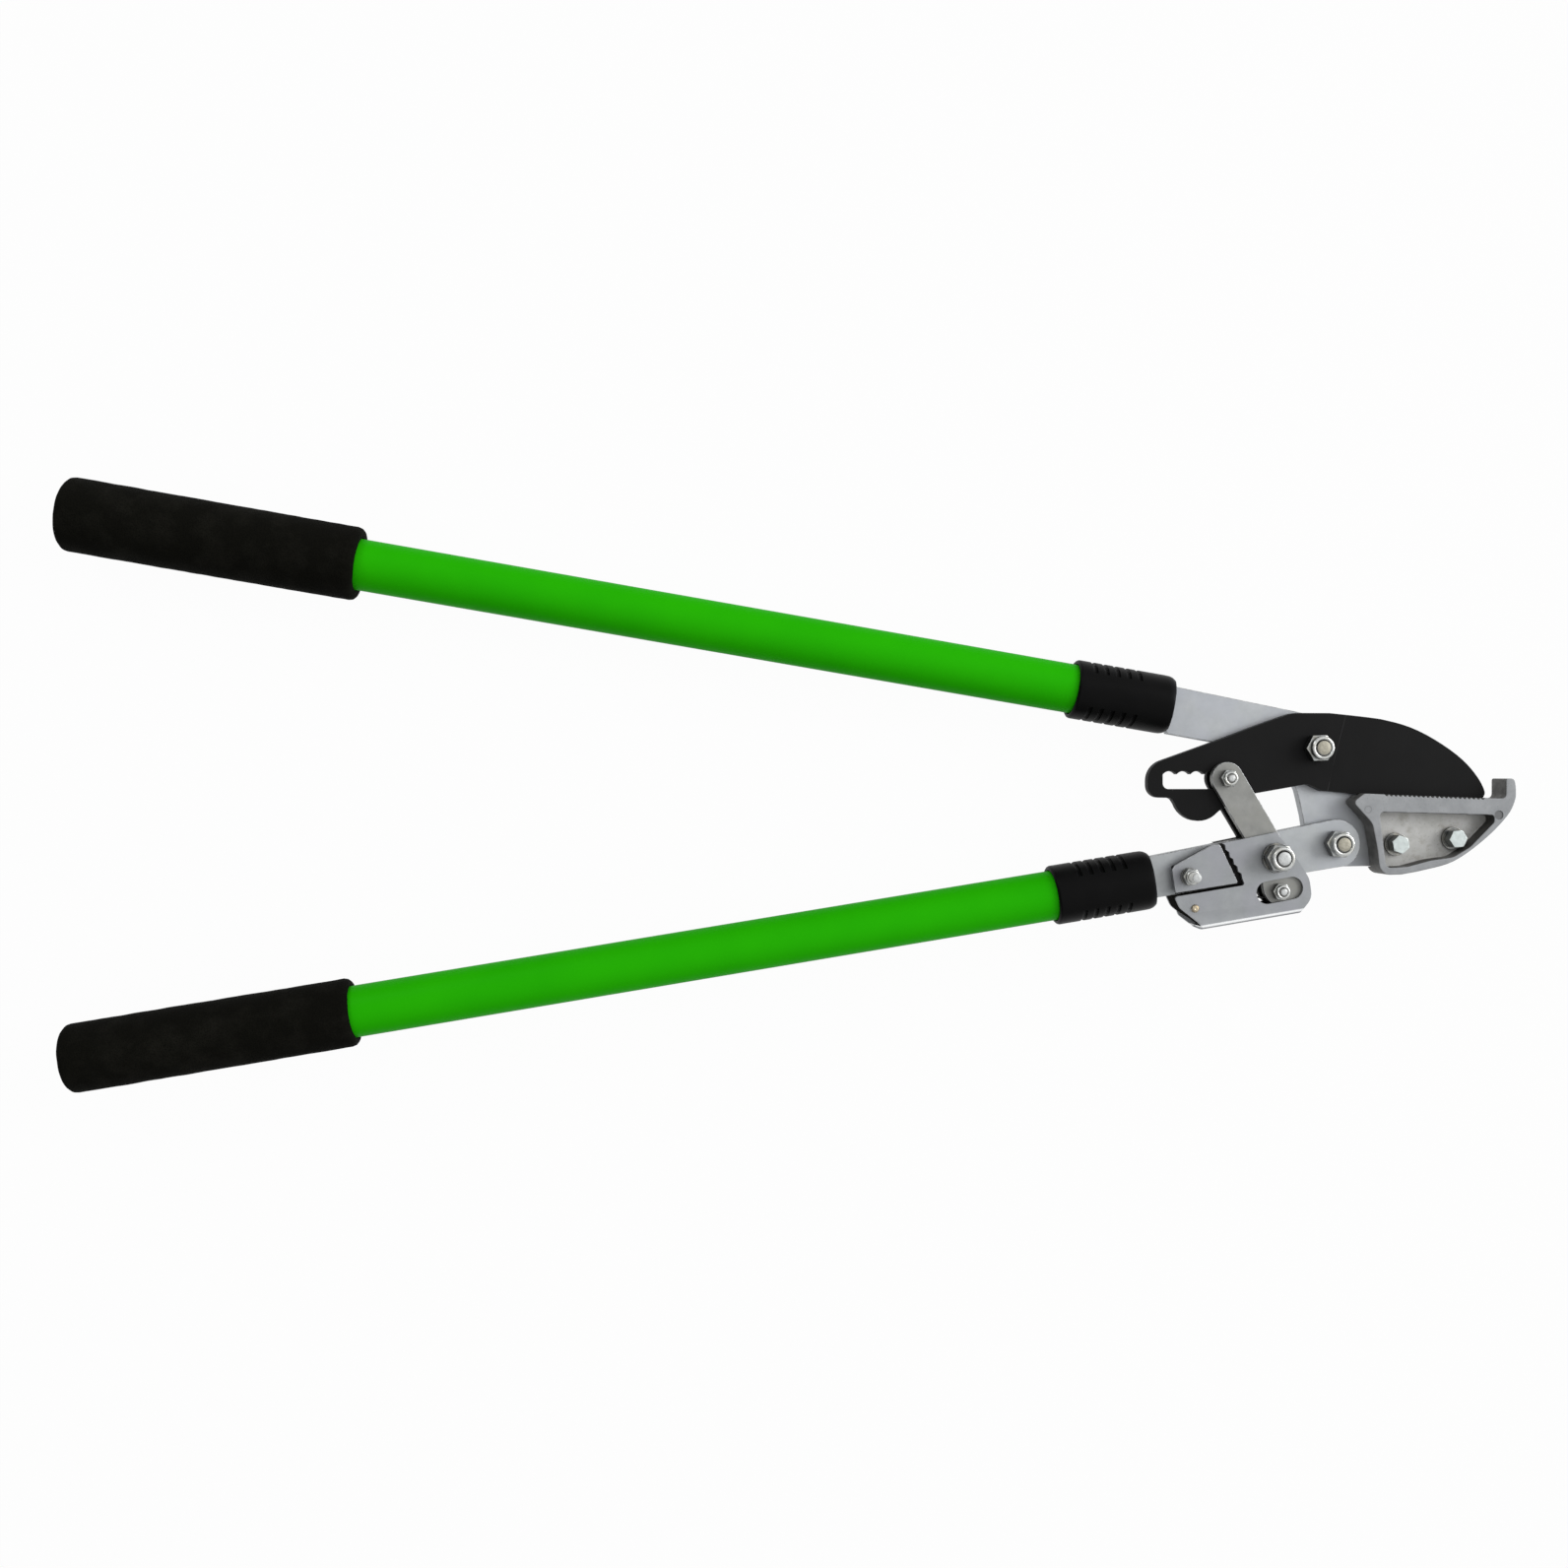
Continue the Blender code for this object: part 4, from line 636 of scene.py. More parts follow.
def softened(piece, width, segments=2, angle=30, finishes=()):
    """Rounds the sharp edges for good. With two finishes, the second is for the rounded edges."""
    edges = {}
    if finishes:
        coat(piece, *finishes)
        edges["material"] = 1
    modified(piece, "BEVEL", width=width, segments=segments, limit_method="ANGLE",
             angle_limit=math.radians(angle), **edges)
    smoothed(piece, 40)
    modified(piece, "WEIGHTED_NORMAL", keep_sharp=True, weight=100)
    return piece


def carried(node, name):
    """A merged copy of a CAD node's mesh, with its flat faces whole again."""
    fresh()
    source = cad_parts[node]
    piece = bpy.data.objects.new(name, source.data.copy())
    bpy.context.scene.collection.objects.link(piece)
    piece.matrix_world = source.matrix_world.copy()
    settle(piece)
    edit_all()
    bpy.ops.mesh.remove_doubles(threshold=0.000002)
    bpy.ops.mesh.dissolve_limited(angle_limit=math.radians(1.0))
    bpy.ops.object.mode_set(mode="OBJECT")
    piece.data.materials.clear()
    return piece


def joined(first, *others):
    """Several made pieces as one."""
    pick(first)
    for other in others:
        other.select_set(True)
    bpy.ops.object.join()
    return first


def finish(piece, finish_name, body, slot, *nodes):
    """Gives the piece its finish and body, and lets it stand for its CAD nodes."""
    if finish_name:
        coat(piece, finish_name)
    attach(piece, body)
    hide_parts(*nodes)
    return piece


# Fasteners, made upright on Z

def hexagon(name, flats, low, high, turn, chamfer_low, chamfer_high):
    """A hex prism with its corners turned away at the ends that are chamfered."""
    fresh()
    corner = flats / math.sqrt(3)
    bpy.ops.mesh.primitive_cylinder_add(vertices=6, radius=corner, depth=high - low,
                                        location=(0, 0, (low + high) / 2), rotation=(0, 0, turn))
    piece = bpy.context.object
    piece.name = name
    settle(piece)
    rise = (corner - flats / 2) * 0.62
    inner = flats / 2 * 0.97
    stations = [(low, inner if chamfer_low else corner), (low + rise, corner * 1.01),
                (high - rise, corner * 1.01), (high, inner if chamfer_high else corner)]
    cut(piece, turned(name + "_turning", stations, 48), "INTERSECT")
    return piece


def thread(name, radius, pitch, low, high):
    """The ridge of a screw thread, wound round Z."""
    fresh()
    depth = pitch * 0.55
    turns = max(1, int((high - low) / pitch))
    bpy.ops.mesh.primitive_circle_add(vertices=3, radius=pitch * 0.52, fill_type="NGON",
                                      rotation=(math.pi / 2, math.pi / 2, 0),
                                      location=(radius - depth * 0.62, 0, high - turns * pitch - pitch / 2))
    piece = bpy.context.object
    piece.name = name
    settle(piece)
    edit_all()
    bpy.ops.mesh.delete(type="ONLY_FACE")
    bpy.ops.object.mode_set(mode="OBJECT")
    modified(piece, "SCREW", axis="Z", screw_offset=pitch, iterations=turns, steps=28, render_steps=28,
             use_smooth_shade=True)
    bpy.ops.object.mode_set(mode="EDIT")
    bpy.ops.mesh.select_all(action="DESELECT")
    bpy.ops.mesh.select_mode(type="VERT")
    bpy.ops.mesh.select_non_manifold()
    bpy.ops.mesh.edge_face_add()
    close_outwards()
    return piece


def shank(name, radius, low, tip, pitch, bare, face, thread_finish, end_finish):
    """A bolt's shank with a thread over its last bare length and a chamfer down to its sawn end face."""
    core = radius - pitch * 0.42
    end = radius * face
    slope = max(0.0003, (core - end) * 0.8)
    stations = [(low, radius), (tip - bare - 2 * pitch, radius), (tip - bare - pitch, core),
                (tip - slope - 0.0001, core), (tip - slope, core * 0.995), (tip - 0.0001, end + 0.00008)]
    body = smoothed(turned(name, stations, 48), 40)
    ridge = smoothed(thread(name + "_thread", radius, pitch, tip - bare - pitch, tip - slope), 40)
    sawn = turned(name + "_face", [(tip - 0.0002, end), (tip - 0.00008, end), (tip, end - 0.0001),
                                   (tip, end * 0.4)], 48)
    smoothed(sawn, 40)
    for part, finish_name in ((body, "thread"), (ridge, thread_finish), (sawn, end_finish)):
        coat(part, finish_name)
    return joined(body, ridge, sawn)


def back_bolt(name, centre, back, tip, size, bare, face, thread_finish, end_finish):
    """A bolt with its hex head at the back of the tool."""
    head, pitch = size["head"], size["pitch"]
    top = softened(hexagon(name + "_head", size["flats"], back, back + head, 0.0, True, False), 0.00018)
    coat(top, "bright")
    piece = joined(top, shank(name, size["width"] / 2, back + head - 0.0004, tip, pitch, bare, face,
                              thread_finish, end_finish))
    piece.name = name
    return stood(piece, centre)


# A nut's rolled crown: below its end and in from its rim, in shares of the roll's radius
CROWN_ROLL = ((0.95, 0.0), (0.55, 0.14), (0.22, 0.42), (0.04, 0.80), (0.0, 1.15), (0.06, 1.50), (0.24, 1.84),
              (0.50, 2.00), (1.20, 2.00))


def lock_nut(name, centre, back, size, gap, turn):
    """A lock nut: chamfered hexes, a crown rolled over its nylon ring, and the gap round the bolt's end."""
    top = back + size["hexes"]
    end = top + size["collar"]
    body = softened(hexagon(name, size["flats"], back, top, turn, True, True), size["flats"] * 0.014)
    outer = size["crown"] / 2
    mouth = size["width"] / 2 * gap
    roll = (outer - mouth) / 2
    rolled = turned(name + "_crown", [(top - 0.0004, outer)] + [
        (end - roll * down, outer - roll * inwards) for down, inwards in CROWN_ROLL], 56)
    ring = turned(name + "_ring", [
        (end - size["collar"] * 0.8, mouth + 0.0001), (end - roll * 0.95, mouth + 0.0001),
        (end - roll * 0.85, mouth - 0.0002), (end - roll, mouth * 0.9)], 48)
    smoothed(rolled, 50)
    smoothed(ring, 50)
    for part, finish_name in ((body, "flats"), (rolled, "bright"), (ring, "ring")):
        coat(part, finish_name)
    return stood(joined(body, rolled, ring), centre)


def plain_washer(name, centre, back, thickness, width, hole):
    """A stamped washer: rounded over on the punch side, with its hole."""
    piece = turned(name, [(0, width / 2 * 0.985), (thickness * 0.3, width / 2),
                          (thickness, width / 2 * 0.994)], 56)
    bored(piece, [(-thickness, hole / 2), (2 * thickness, hole / 2)], 40)
    return stood(softened(piece, 0.00014), centre, back)


def pocket_bolt(name, centre, seat, back, width, flats, head, turn):
    """An anvil bolt: its chamfered head in the pocket, its shank down to the back."""
    top = softened(hexagon(name, flats, seat, seat + head, turn, False, True), 0.00030, 3)
    lower = turned(name + "_shank", [(back, width * 0.42), (back + 0.0005, width / 2),
                                     (seat + 0.0003, width / 2)], 32)
    return stood(joined(top, softened(lower, 0.0001)), centre)


def back_nut(name, centre, front, width, flats, height, turn):
    """A plain nut behind the jaw."""
    piece = hexagon(name, flats, front - height, front, turn, True, True)
    bored(piece, [(front - height - 0.001, width / 2 + 0.0007), (front - height + 0.0006, width / 2),
                  (front - 0.0006, width / 2), (front + 0.001, width / 2 + 0.0007)], 32)
    return stood(softened(piece, 0.00016), centre)


# Handles

GROOVES = 5
GROOVE_PITCH = 0.0058
GROOVE_WIDTH = 0.0023
GROOVE_DEPTH = 0.0014
UPPER_FIRST_GROOVE = 0.0210
LOWER_FIRST_GROOVE = 0.0160
FLANK = 0.60
MOUTH_SLANT = 0.17
AROUND = 112
PLUG_RECESS = 0.0020
BORE_DEPTH = 0.06


def tube(name, start, end, place):
    """A painted tube with its bore."""
    bore = TUBE_RADIUS - TUBE_WALL
    stations = [(start, bore), (start, TUBE_RADIUS - 0.0003), (start + 0.0003, TUBE_RADIUS)]
    steps = 24
    stations += [(start + (end - start) * i / steps, TUBE_RADIUS) for i in range(1, steps)]
    stations += [(end - 0.0003, TUBE_RADIUS), (end, TUBE_RADIUS - 0.0003), (end, bore),
                 (end - BORE_DEPTH, bore)]
    return settle(smoothed(turned(name, stations, AROUND), 30), along_handle(place))


def collar(name, mouth, first, place):
    """The moulded collar: a rolled rear lip, five finger grooves in each flank and a rounded mouth."""
    back = mouth - COLLAR_LENGTH
    edge = COLLAR_RADIUS
    stations = [(back + 0.0016, TUBE_RADIUS + 0.0001), (back + 0.0003, TUBE_RADIUS + 0.0004),
                (back, TUBE_RADIUS + 0.0010), (back + 0.0002, edge - 0.0009), (back + 0.0007, edge - 0.0003),
                (back + 0.0014, edge)]
    for i in reversed(range(GROOVES)):
        middle = mouth - first - i * GROOVE_PITCH
        stations += [(middle - GROOVE_WIDTH / 2, edge), (middle + GROOVE_WIDTH / 2, edge)]
    stations += [(mouth - 0.0060, edge), (mouth - 0.0036, edge - 0.0001), (mouth - 0.0022, edge - 0.0005),
                 (mouth - 0.0011, edge - 0.0012), (mouth - 0.0003, edge - 0.0022), (mouth, edge - 0.0034)]
    piece = turned(name, stations, AROUND)
    flanks = []
    for face in piece.data.polygons:
        middle = face.center
        distance = mouth - middle.z - first
        groove = round(distance / GROOVE_PITCH)
        inside = 0 <= groove < GROOVES and abs(distance - groove * GROOVE_PITCH) < GROOVE_WIDTH / 4
        if inside and abs(middle.y) > FLANK * edge:
            flanks.append(face.index)
    select_faces(piece, flanks)
    pick(piece)
    bpy.ops.object.mode_set(mode="EDIT")
    bpy.ops.mesh.extrude_region_shrink_fatten(TRANSFORM_OT_shrink_fatten={"value": -GROOVE_DEPTH})
    for way in (1, -1):
        bpy.ops.mesh.select_all(action="SELECT")
        bpy.ops.mesh.bisect(plane_co=(0, 0, mouth), plane_no=(way * MOUTH_SLANT, 0, 1), use_fill=True,
                            clear_outer=True)
    bpy.ops.object.mode_set(mode="OBJECT")
    return settle(softened(piece, 0.00035, 3), along_handle(place))


def grip(name, start, length, radius, place):
    """The foam grip: pulled over the tube's end, a little lumpy, its end closed."""
    far = start - length + 0.00015
    steps = 70
    stations = [(far, radius * 0.30), (far + 0.0002, radius * 0.55), (far + 0.0006, radius - 0.0032),
                (far + 0.0012, radius - 0.0014), (far + 0.0024, radius - 0.0003), (far + 0.0040, radius)]
    first = far + 0.0040
    last = start - 0.0030
    stations += [(first + (last - first) * i / steps, radius) for i in range(1, steps + 1)]
    stations += [(start - 0.0012, radius - 0.0005), (start - 0.0003, radius - 0.0014),
                 (start, radius - 0.0026), (start - 0.0001, TUBE_RADIUS + 0.0004),
                 (start - 0.0012, TUBE_RADIUS)]
    piece = turned(name, stations, AROUND)
    lumps = bpy.data.textures.new(name + "_lumps", "CLOUDS")
    lumps.noise_scale = 0.009
    lumps.noise_depth = 3
    modified(piece, "DISPLACE", texture=lumps, strength=0.00045, mid_level=0.85)
    return settle(smoothed(piece, 60), along_handle(place))


HANDLES = (
    ("upper", "root", UPPER_MOUTH, UPPER_FIRST_GROOVE, UPPER_GRIP, upper_place()),
    ("lower", "lower_handle", LOWER_MOUTH, LOWER_FIRST_GROOVE, LOWER_GRIP, lower_place()),
)

for side, body, mouth, first_groove, held, place in HANDLES:
    tube_end = mouth - COLLAR_END_WALL - SEAT
    tube_start = held["start"] - held["length"] + GRIP_END_WALL + 2 * SEAT + PLUG_RECESS
    painted = tube(side + "_green_tube", tube_start, tube_end, place)
    finish(painted, "green", body, "green_paint", side + "_tube")
    ribbed = collar(side + "_moulded_collar", mouth, first_groove, place)
    finish(ribbed, "plastic", body, "black_plastic", side + "_collar")
    soft = grip(side + "_foam_grip", held["start"], held["length"], held["radius"], place)
    finish(soft, "foam", body, "black_foam", side + "_grip")


# Plates, links, housing, blade and anvil

SHEETS = (
    ("anvil_plate", "jaw_plate", "root", "root", 0.00035),
    ("lower_tang", "lower_tang_plate", "tang", "lower_handle", 0.00035),
    ("front_link", "front_link_strap", "link", "link", 0.00030),
    ("pawl_plate", "pawl_strap", "housing", "pawl", 0.00022),
    ("ratchet_housing", "folded_housing", "housing", "housing", 0.00022),
)

SHEET_PIECES = {}
for node, name, finish_name, body, edge_round in SHEETS:
    sheet = softened(carried(node, name), edge_round, finishes=(finish_name, "zinc_edge"))
    SHEET_PIECES[node] = finish(sheet, None, body, "zinc_plate", node)

rear_strap = softened(carried("rear_link", "rear_link_strap"), 0.0003, finishes=("blade", "blade_edge"))
finish(rear_strap, None, "link", "black_coating", "rear_link")

# The housing's hollow: the rim of the rear cheek's lip in the lower handle's frame, the hollow's middle
# in the tool's, and the heights between its two cheeks
LIP_RIM = (Vector((-0.0858, -0.0243, 0.0)), Vector((-0.0760, -0.0328, 0.0)))
LIP_RIM_WIDTH = 0.0022
HOLLOW_MIDDLE = Vector((-0.0420, -0.0720, 0.01315))
HOLLOW_HEIGHTS = (0.0070, 0.01905)


def shade_the_hollow(piece):
    """Gives the housing's faces that look into its hollow the painted shade, but for the rim of the rear
    cheek's lip.
    """
    frame_turn = lower_place().to_3x3()
    start = HANDLE_PIVOT + frame_turn @ LIP_RIM[0]
    way = (frame_turn @ (LIP_RIM[1] - LIP_RIM[0])).normalized()
    outwards = Vector((way.y, -way.x, 0.0))
    line = start - outwards * LIP_RIM_WIDTH
    pick(piece)
    edit_all()
    bpy.ops.mesh.bisect(plane_co=line, plane_no=outwards)
    bpy.ops.object.mode_set(mode="OBJECT")
    piece.data.materials.append(FINISH["hollow"])
    for face in piece.data.polygons:
        within = HOLLOW_HEIGHTS[0] < face.center.z < HOLLOW_HEIGHTS[1]
        inwards = face.normal.dot(HOLLOW_MIDDLE - face.center) > 0.0003
        if within and inwards and (face.center - line).dot(outwards) < 0:
            face.material_index = 2


shade_the_hollow(SHEET_PIECES["ratchet_housing"])

SPINE_START = (0.0120, -0.0200)
GRIND_END = (0.0345, 0.0151)


def fair_spine(piece):
    """Evens out the curve of the blade's spine, and leaves the end of its ground bevel where it is."""
    pick(piece)
    bpy.context.tool_settings.mesh_select_mode = (True, False, False)
    for vertex in piece.data.vertices:
        x, y, _ = vertex.co
        on_spine = x > SPINE_START[0] and y > SPINE_START[1]
        vertex.select = on_spine and not (x < GRIND_END[0] and y < GRIND_END[1])
    for edge in piece.data.edges:
        edge.select = all(piece.data.vertices[i].select for i in edge.vertices)
    for face in piece.data.polygons:
        face.select = False
    bpy.ops.object.mode_set(mode="EDIT")
    bpy.ops.mesh.vertices_smooth(factor=0.5, repeat=5, xaxis=True, yaxis=True, zaxis=False)
    bpy.ops.object.mode_set(mode="OBJECT")
    return piece


coated = softened(fair_spine(carried("blade", "coated_blade")), 0.00022, finishes=("blade", "blade_edge"))
finish(coated, None, "blade", "black_coating", "blade")

GATE_MARK_RADIUS = 0.0024
GATE_MARK_HEIGHTS = (0.0207, 0.0220)
LIP_START = (0.0224, -0.0232)
LIP_LENGTH = 0.0712
LIP_FALL = 0.0026
LIP_FIRST_TOOTH = 0.0330
LIP_TOOTH_PITCH = 0.00245
LIP_TEETH = 22
TOOTH_GAP = {"across": 0.00080, "down": 0.00105, "low": 0.0070, "high": 0.0220}


def bite(name, place, across, down, low, high):
    """An upright oval cutter."""
    fresh()
    bpy.ops.mesh.primitive_cylinder_add(vertices=14, radius=1.0, depth=high - low,
                                        location=(*place, (low + high) / 2), scale=(across, down, 1.0))
    piece = bpy.context.object
    piece.name = name
    return settle(piece)


def lip_height(x):
    """The height of the anvil's lip along its length."""
    return LIP_START[1] - LIP_FALL * (x - LIP_START[0]) / LIP_LENGTH


def cast_anvil():
    """The anvil: the solid's form recast with soft edges, then its lip toothed and its gate mark sunk."""
    piece = carried("anvil", "cast_anvil_block")
    modified(piece, "REMESH", mode="VOXEL", voxel_size=0.00030)
    modified(piece, "SMOOTH", factor=0.5, iterations=4)
    modified(piece, "DECIMATE", ratio=0.22)
    cut(piece, bite("gate_mark", GATE_MARK, GATE_MARK_RADIUS, GATE_MARK_RADIUS, *GATE_MARK_HEIGHTS))
    first = LIP_FIRST_TOOTH + LIP_TOOTH_PITCH / 2
    places = [first + i * LIP_TOOTH_PITCH for i in range(LIP_TEETH)]
    comb = [bite("lip_bite", (x, lip_height(x) + 0.0001), **TOOTH_GAP) for x in places]
    cut(piece, joined(*comb))
    return smoothed(piece, 50)


finish(cast_anvil(), "cast", "root", "cast_alloy", "anvil")


# Nuts, bolts, washers, rivet and spring

LINK_PIVOT = (-0.023996, -0.055701)
PAWL_PIVOT = (-0.069407, -0.064998)
RATCHET_PIN = (-0.0486, -0.0154)
SPRING_STUD = (-0.021304, -0.072993)
SPRING_RIVET = (-0.066176, -0.081194)
ANVIL_BOLTS = (("rear", (0.0426, -0.0494), 0.2), ("front", (0.0734, -0.0466), 0.6))

# Thread sizes: shank, flats, head, pitch, then a lock nut's hexes, collar and crown
M8 = {"width": 0.0080, "flats": 0.0130, "head": 0.0053, "pitch": 0.00125,
      "hexes": 0.0046, "collar": 0.0034, "crown": 0.0120}
M5 = {"width": 0.0050, "flats": 0.0080, "head": 0.0035, "pitch": 0.0008,
      "hexes": 0.0031, "collar": 0.0019, "crown": 0.0072}
M6 = {"width": 0.0060, "flats": 0.0084}

# Each bolt: body, centre, back of its head, back of its nut, how far its end stands out, thread size,
# its end face's share of its radius, the nut's gap and turn, and the end's finish
PIVOTS = (
    ("blade_pivot", "root", (0.0, 0.0), 0.0, 0.0152, 0.0003, M8, 0.88, 1.04, 0.56, "bolt_end"),
    ("handle_pivot", "root", (0.0106, -0.0491), 0.0, 0.0157, 0.0003, M8, 0.86, 1.04, 0.45, "bolt_end"),
    ("link_pivot", "lower_handle", LINK_PIVOT, 0.0002, 0.0227, 0.0003, M8, 0.84, 1.04, 0.45, "pale_end"),
    ("pawl", "lower_handle", PAWL_PIVOT, 0.0071, 0.0221, 0.0048, M5, 0.90, 0.98, 0.45, "pale_end"),
    ("ratchet_pin", "link", RATCHET_PIN, 0.0038, 0.0190, 0.0005, M5, 0.62, 0.94, 0.45, "pale_end"),
    ("spring_stud", "link", SPRING_STUD, 0.0038, 0.0190, 0.0005, M5, 0.62, 0.94, 0.45, "pale_end"),
)

for name, body, centre, back, nut_back, proud, size, face, gap, turn, end_finish in PIVOTS:
    tip = nut_back + size["hexes"] + size["collar"] + proud
    bolt = back_bolt(name + "_long_bolt", centre, back, tip, size, proud + size["pitch"], face,
                     "bright" if proud > size["pitch"] else "thread", end_finish)
    finish(bolt, None, body, "bright_zinc", name + "_bolt")
    nut = lock_nut(name + "_lock_nut", centre, nut_back, size, gap, turn)
    finish(nut, None, body, "bright_zinc", name + "_nut")

# Each washer: centre, back, thickness, width, hole and node
WASHERS = (
    ("link_pivot_flat_washer", LINK_PIVOT, 0.0208, 0.0016, 0.0152, 0.0086, "link_pivot_washer"),
    ("pawl_flat_washer", PAWL_PIVOT, 0.0208, 0.0010, 0.0090, 0.0056, "pawl_washer"),
    ("pawl_spacing_ring", PAWL_PIVOT, 0.0157, 0.0030, 0.0090, 0.0056, "pawl_spacer"),
)

for name, centre, back, thickness, width, hole, node in WASHERS:
    washer = plain_washer(name, centre, back, thickness, width, hole)
    finish(washer, "washer", "lower_handle", "bright_zinc", node)

POCKET_WASHER = {"back": 0.0134, "thickness": 0.0016, "width": 0.0120, "hole": 0.0066}
POCKET_BOLT = {"seat": 0.0153, "back": 0.0005, "head": 0.0048, **M6}
BACK_NUT = {"front": 0.0053, "height": 0.0045, **M6}

for place, centre, turn in ANVIL_BOLTS:
    washer = plain_washer("anvil_flat_washer_" + place, centre, **POCKET_WASHER)
    finish(washer, "washer", "root", "bright_zinc", "anvil_washer_" + place)
    bolt = pocket_bolt("anvil_hex_bolt_" + place, centre, turn=turn, **POCKET_BOLT)
    finish(bolt, "head", "root", "bright_zinc", "anvil_bolt_" + place)
    nut = back_nut("anvil_back_nut_" + place, centre, turn=turn, **BACK_NUT)
    finish(nut, "bright", "root", "bright_zinc", "anvil_nut_" + place)


def rivet():
    """The brass rivet, its heads domed and dimpled."""
    stations = [(0.0045, 0.0007), (0.0047, 0.0013), (0.0050, 0.0018), (0.0055, 0.0020), (0.0055, 0.0016),
                (0.0208, 0.0016), (0.0208, 0.0020), (0.0213, 0.0018), (0.0216, 0.0013), (0.0218, 0.0007),
                (0.0216, 0.0004)]
    return stood(softened(turned("brass_rivet", stations, 40), 0.00005, 1, 40), SPRING_RIVET)


finish(rivet(), "brass", "housing", "brass", "spring_rivet")

SPRING_HEIGHT = 0.01315
SPRING_WIRE = 0.0011
SPRING_RADIUS = 0.00255
SPRING_TURNS = 24
TURN_STEPS = 14
RIVET_HOOK = 0.0018 + SPRING_WIRE / 2 + 0.0003
STUD_HOOK = 0.0025 + SPRING_WIRE / 2 + 0.0011
RIVET_NECK = 0.0040
STUD_NECK = 0.0065


def hook(x, radius, first):
    """Two thirds of a turn of wire round a point of the spring's axis."""
    angles = [math.radians(first + 240 * i / 12) for i in range(13)]
    return [Vector((x + radius * math.cos(angle), radius * math.sin(angle), 0)) for angle in angles]


def spring():
    """The extension spring: a hook round the rivet, close coils, and a hook round the stud."""
    fresh()
    start = Vector((*SPRING_RIVET, SPRING_HEIGHT))
    way = Vector((*SPRING_STUD, SPRING_HEIGHT)) - start
    coils_from = RIVET_HOOK + RIVET_NECK
    coils_to = way.length - STUD_HOOK - STUD_NECK
    points = hook(0.0, RIVET_HOOK, 30)
    count = SPRING_TURNS * TURN_STEPS
    for i in range(count + 1):
        angle = math.tau * i / TURN_STEPS - math.pi / 2
        ease = min(1.0, i / TURN_STEPS, (count - i) / TURN_STEPS)
        points.append(Vector((coils_from + (coils_to - coils_from) * i / count,
                              SPRING_RADIUS * math.sin(angle) * (0.5 + 0.5 * ease),
                              SPRING_RADIUS * math.cos(angle) * ease)))
    points += hook(way.length, STUD_HOOK, -90)
    place = Matrix.Translation(start) @ Matrix.Rotation(math.atan2(way.y, way.x), 4, "Z")
    line = bpy.data.curves.new("extension_spring", "CURVE")
    line.dimensions = "3D"
    line.bevel_depth = SPRING_WIRE / 2
    line.bevel_resolution = 2
    line.use_fill_caps = True
    path = line.splines.new("POLY")
    path.points.add(len(points) - 1)
    for point, spot in zip(path.points, points):
        point.co = (*(place @ spot), 1.0)
    piece = bpy.data.objects.new("extension_spring", line)
    bpy.context.scene.collection.objects.link(piece)
    pick(piece)
    bpy.ops.object.convert(target="MESH")
    return smoothed(bpy.context.object, 60)


coil = finish(spring(), "spring", "housing", "spring_steel", "ratchet_spring")
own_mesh(coil)


# Pieces inside the tubes keep their solids, with better finishes

for side in ("upper", "lower"):
    for node, finish_name in (("_tang_insert", "bush"), ("_tube_plug", "bush"), ("_tang_rivet", "bright")):
        coat(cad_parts[side + node], finish_name)


# Table, light and camera

TABLE_LEVEL = -0.0102
TABLE_GREY = (0.50, 0.50, 0.50)
TABLE_WHITENESS = 0.97
WHITE = (1.0, 1.0, 1.0)


def white_when_seen(name, colour, share):
    """A finish that looks white to the camera and in reflections, and still takes a shadow."""
    f = Finish(name)
    seen = f.ray("Camera") + f.ray("Glossy") + f.ray("Transmission")
    plain = f.node("ShaderNodeBsdfDiffuse", None, {"Color": colour})
    white = f.node("ShaderNodeEmission", None, {"Color": WHITE, "Strength": 1.0})
    both = f.node("ShaderNodeMixShader", None, {0: seen * share, 1: plain, 2: white})
    f.tree.nodes.remove(f.shader)
    f.join(f.tree.nodes["Material Output"].inputs["Surface"], both)
    return f.material


fresh()
bpy.ops.mesh.primitive_plane_add(size=8.0, location=(-0.3, 0, TABLE_LEVEL))
table = bpy.context.object
table.name = "white_table"
table.data.materials.append(white_when_seen("white_table", TABLE_GREY, TABLE_WHITENESS))


def lamp(name, place, target, size, power):
    """A soft square lamp aimed at the target."""
    light = bpy.data.lights.new(name, "AREA")
    light.shape = "SQUARE"
    light.size = size
    light.energy = power
    piece = bpy.data.objects.new(name, light)
    bpy.context.scene.collection.objects.link(piece)
    way = Vector(target) - Vector(place)
    piece.matrix_world = Matrix.Translation(place) @ way.to_track_quat("-Z", "Y").to_matrix().to_4x4()


lamp("key_softbox", (2.6, 0.8, 1.65), (-0.1, 0.0, 0.0), 1.9, 62.0)
lamp("far_softbox", (-1.7, 1.6, 1.3), (-0.2, 0.0, 0.0), 0.8, 10.0)

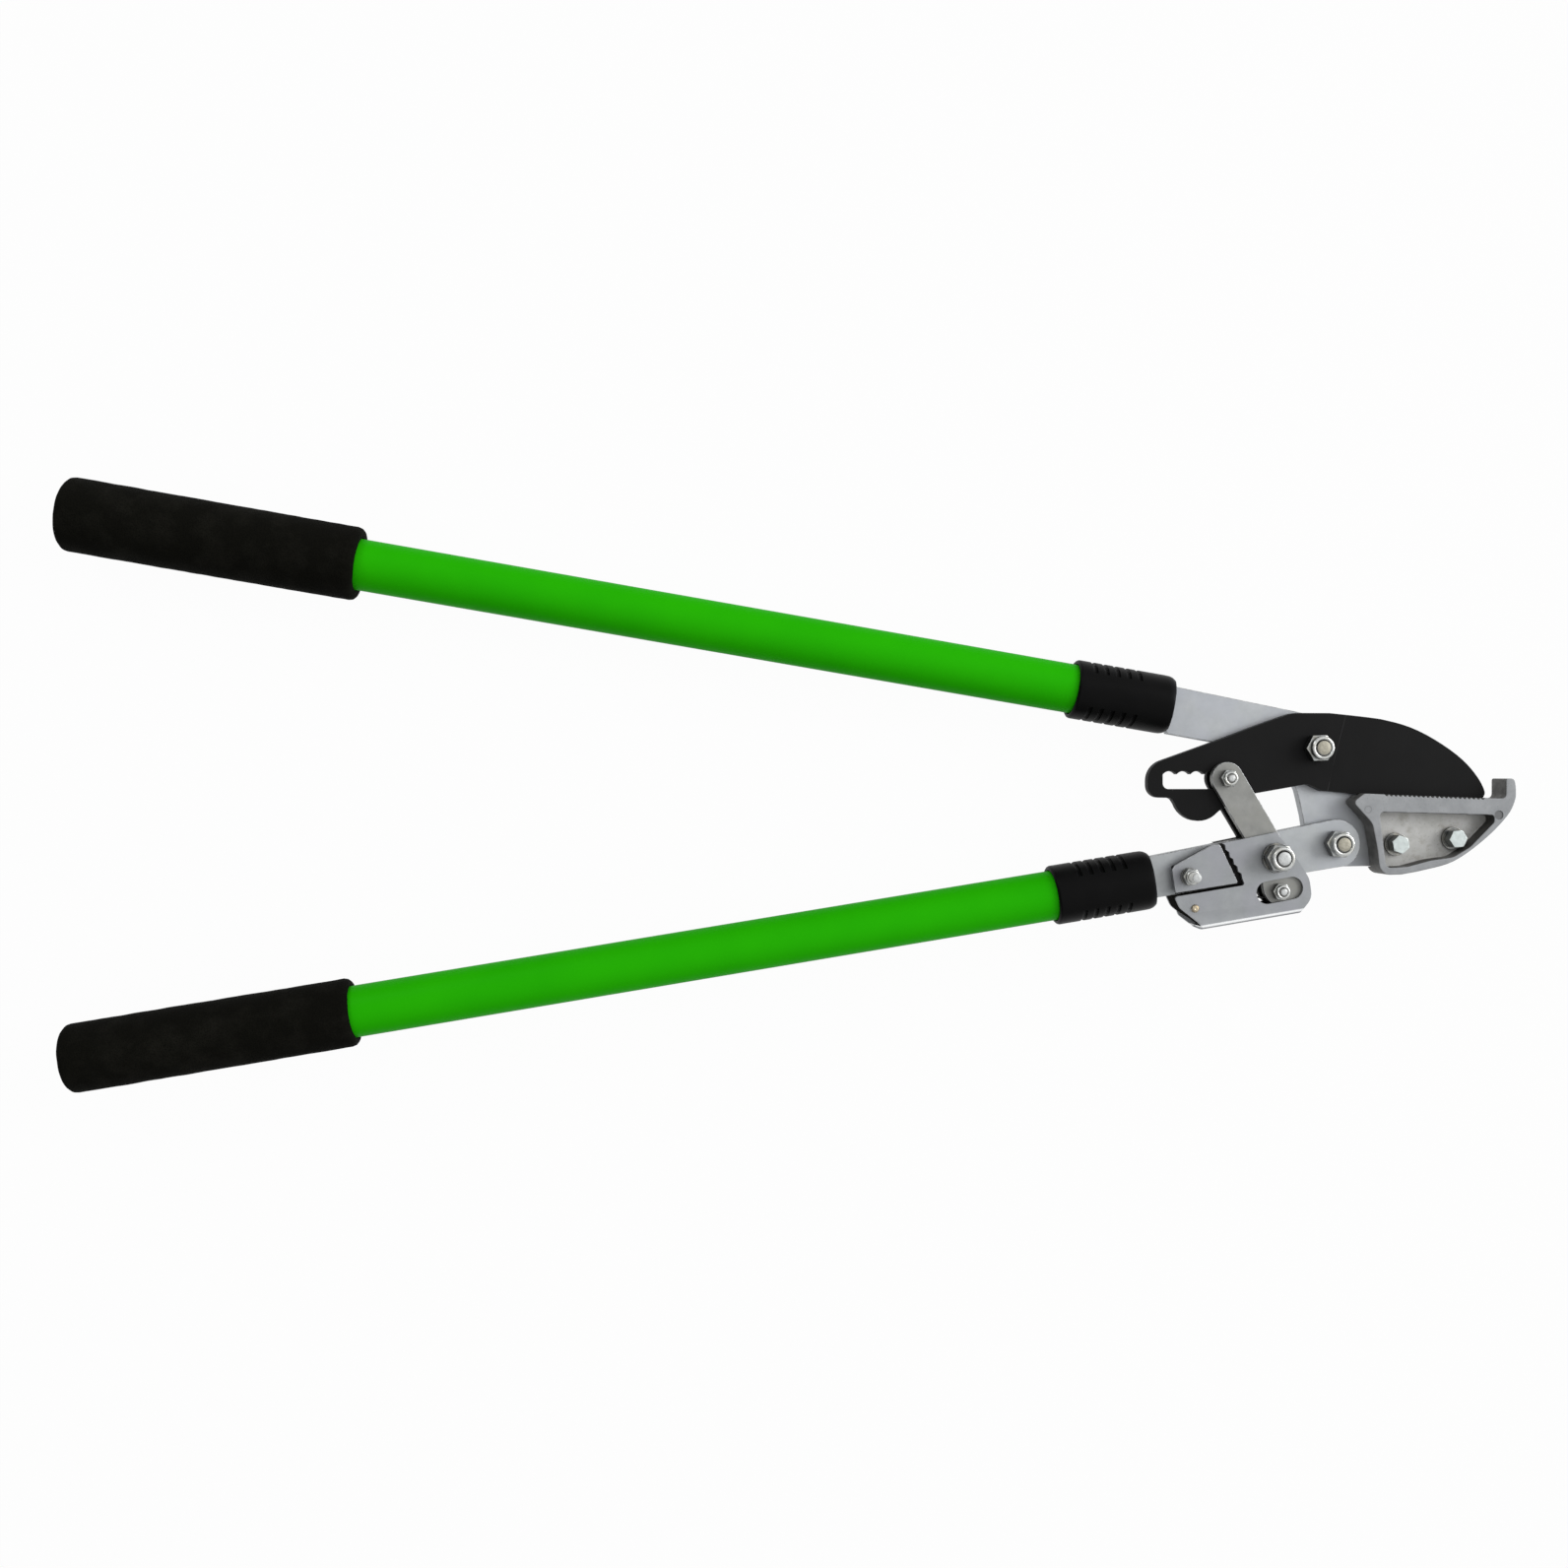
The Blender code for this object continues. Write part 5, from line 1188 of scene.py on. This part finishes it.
ROOM_BRIGHT_SIDE = Vector((0.42, 0.10, 0.90)).normalized()
ROOM_DIM = 0.025
ROOM_BRIGHT = 0.85
ROOM_IN_GLOSS = 0.15


def light_the_room():
    """A pale room, bright overhead and to the right and dim low on the left; the camera sees it as white."""
    world = bpy.data.worlds.new("studio")
    bpy.context.scene.world = world
    world.use_nodes = True
    world.node_tree.nodes.clear()
    room = Wiring(world.node_tree)
    way = room.node("ShaderNodeTexCoord", output="Generated")
    facing = room.node("ShaderNodeVectorMath", {"operation": "DOT_PRODUCT"}, {0: way, 1: ROOM_BRIGHT_SIDE},
                       output="Value")
    level = room.node("ShaderNodeMapRange", {"interpolation_type": "SMOOTHSTEP"}, {
        "Value": facing, "From Min": -0.15, "From Max": 0.85, "To Min": ROOM_DIM, "To Max": ROOM_BRIGHT})
    seen = room.larger(room.larger(room.ray("Camera"), room.ray("Transmission")),
                       room.ray("Glossy") * ROOM_IN_GLOSS)
    dim = room.node("ShaderNodeBackground", None, {"Color": WHITE, "Strength": level})
    white = room.node("ShaderNodeBackground", None, {"Color": WHITE, "Strength": 1.0})
    both = room.node("ShaderNodeMixShader", None, {0: seen, 1: dim, 2: white})
    out = world.node_tree.nodes.new("ShaderNodeOutputWorld")
    room.join(out.inputs["Surface"], both)


light_the_room()

CAMERA_PLACE = (-0.33683, -0.01283, 0.72504)
CAMERA_WAY = (-129, 11, -1460)
FOCAL_LENGTH = 33.015


def set_camera():
    """The viewpoint: square to the tool, well to the left of its jaw."""
    lens = bpy.data.cameras.new("photo_camera")
    lens.sensor_width = 36.0
    lens.lens = FOCAL_LENGTH
    lens.clip_start = 0.01
    camera = bpy.data.objects.new("photo_camera", lens)
    bpy.context.scene.collection.objects.link(camera)
    back = -Vector(CAMERA_WAY).normalized()
    right = Vector((1, 0, 0))
    right = (right - back * right.dot(back)).normalized()
    turn = Matrix((right, back.cross(right), back))
    camera.matrix_world = Matrix.Translation(CAMERA_PLACE) @ turn.to_4x4()
    bpy.context.scene.camera = camera


set_camera()
bpy.context.scene.view_settings.view_transform = "Standard"
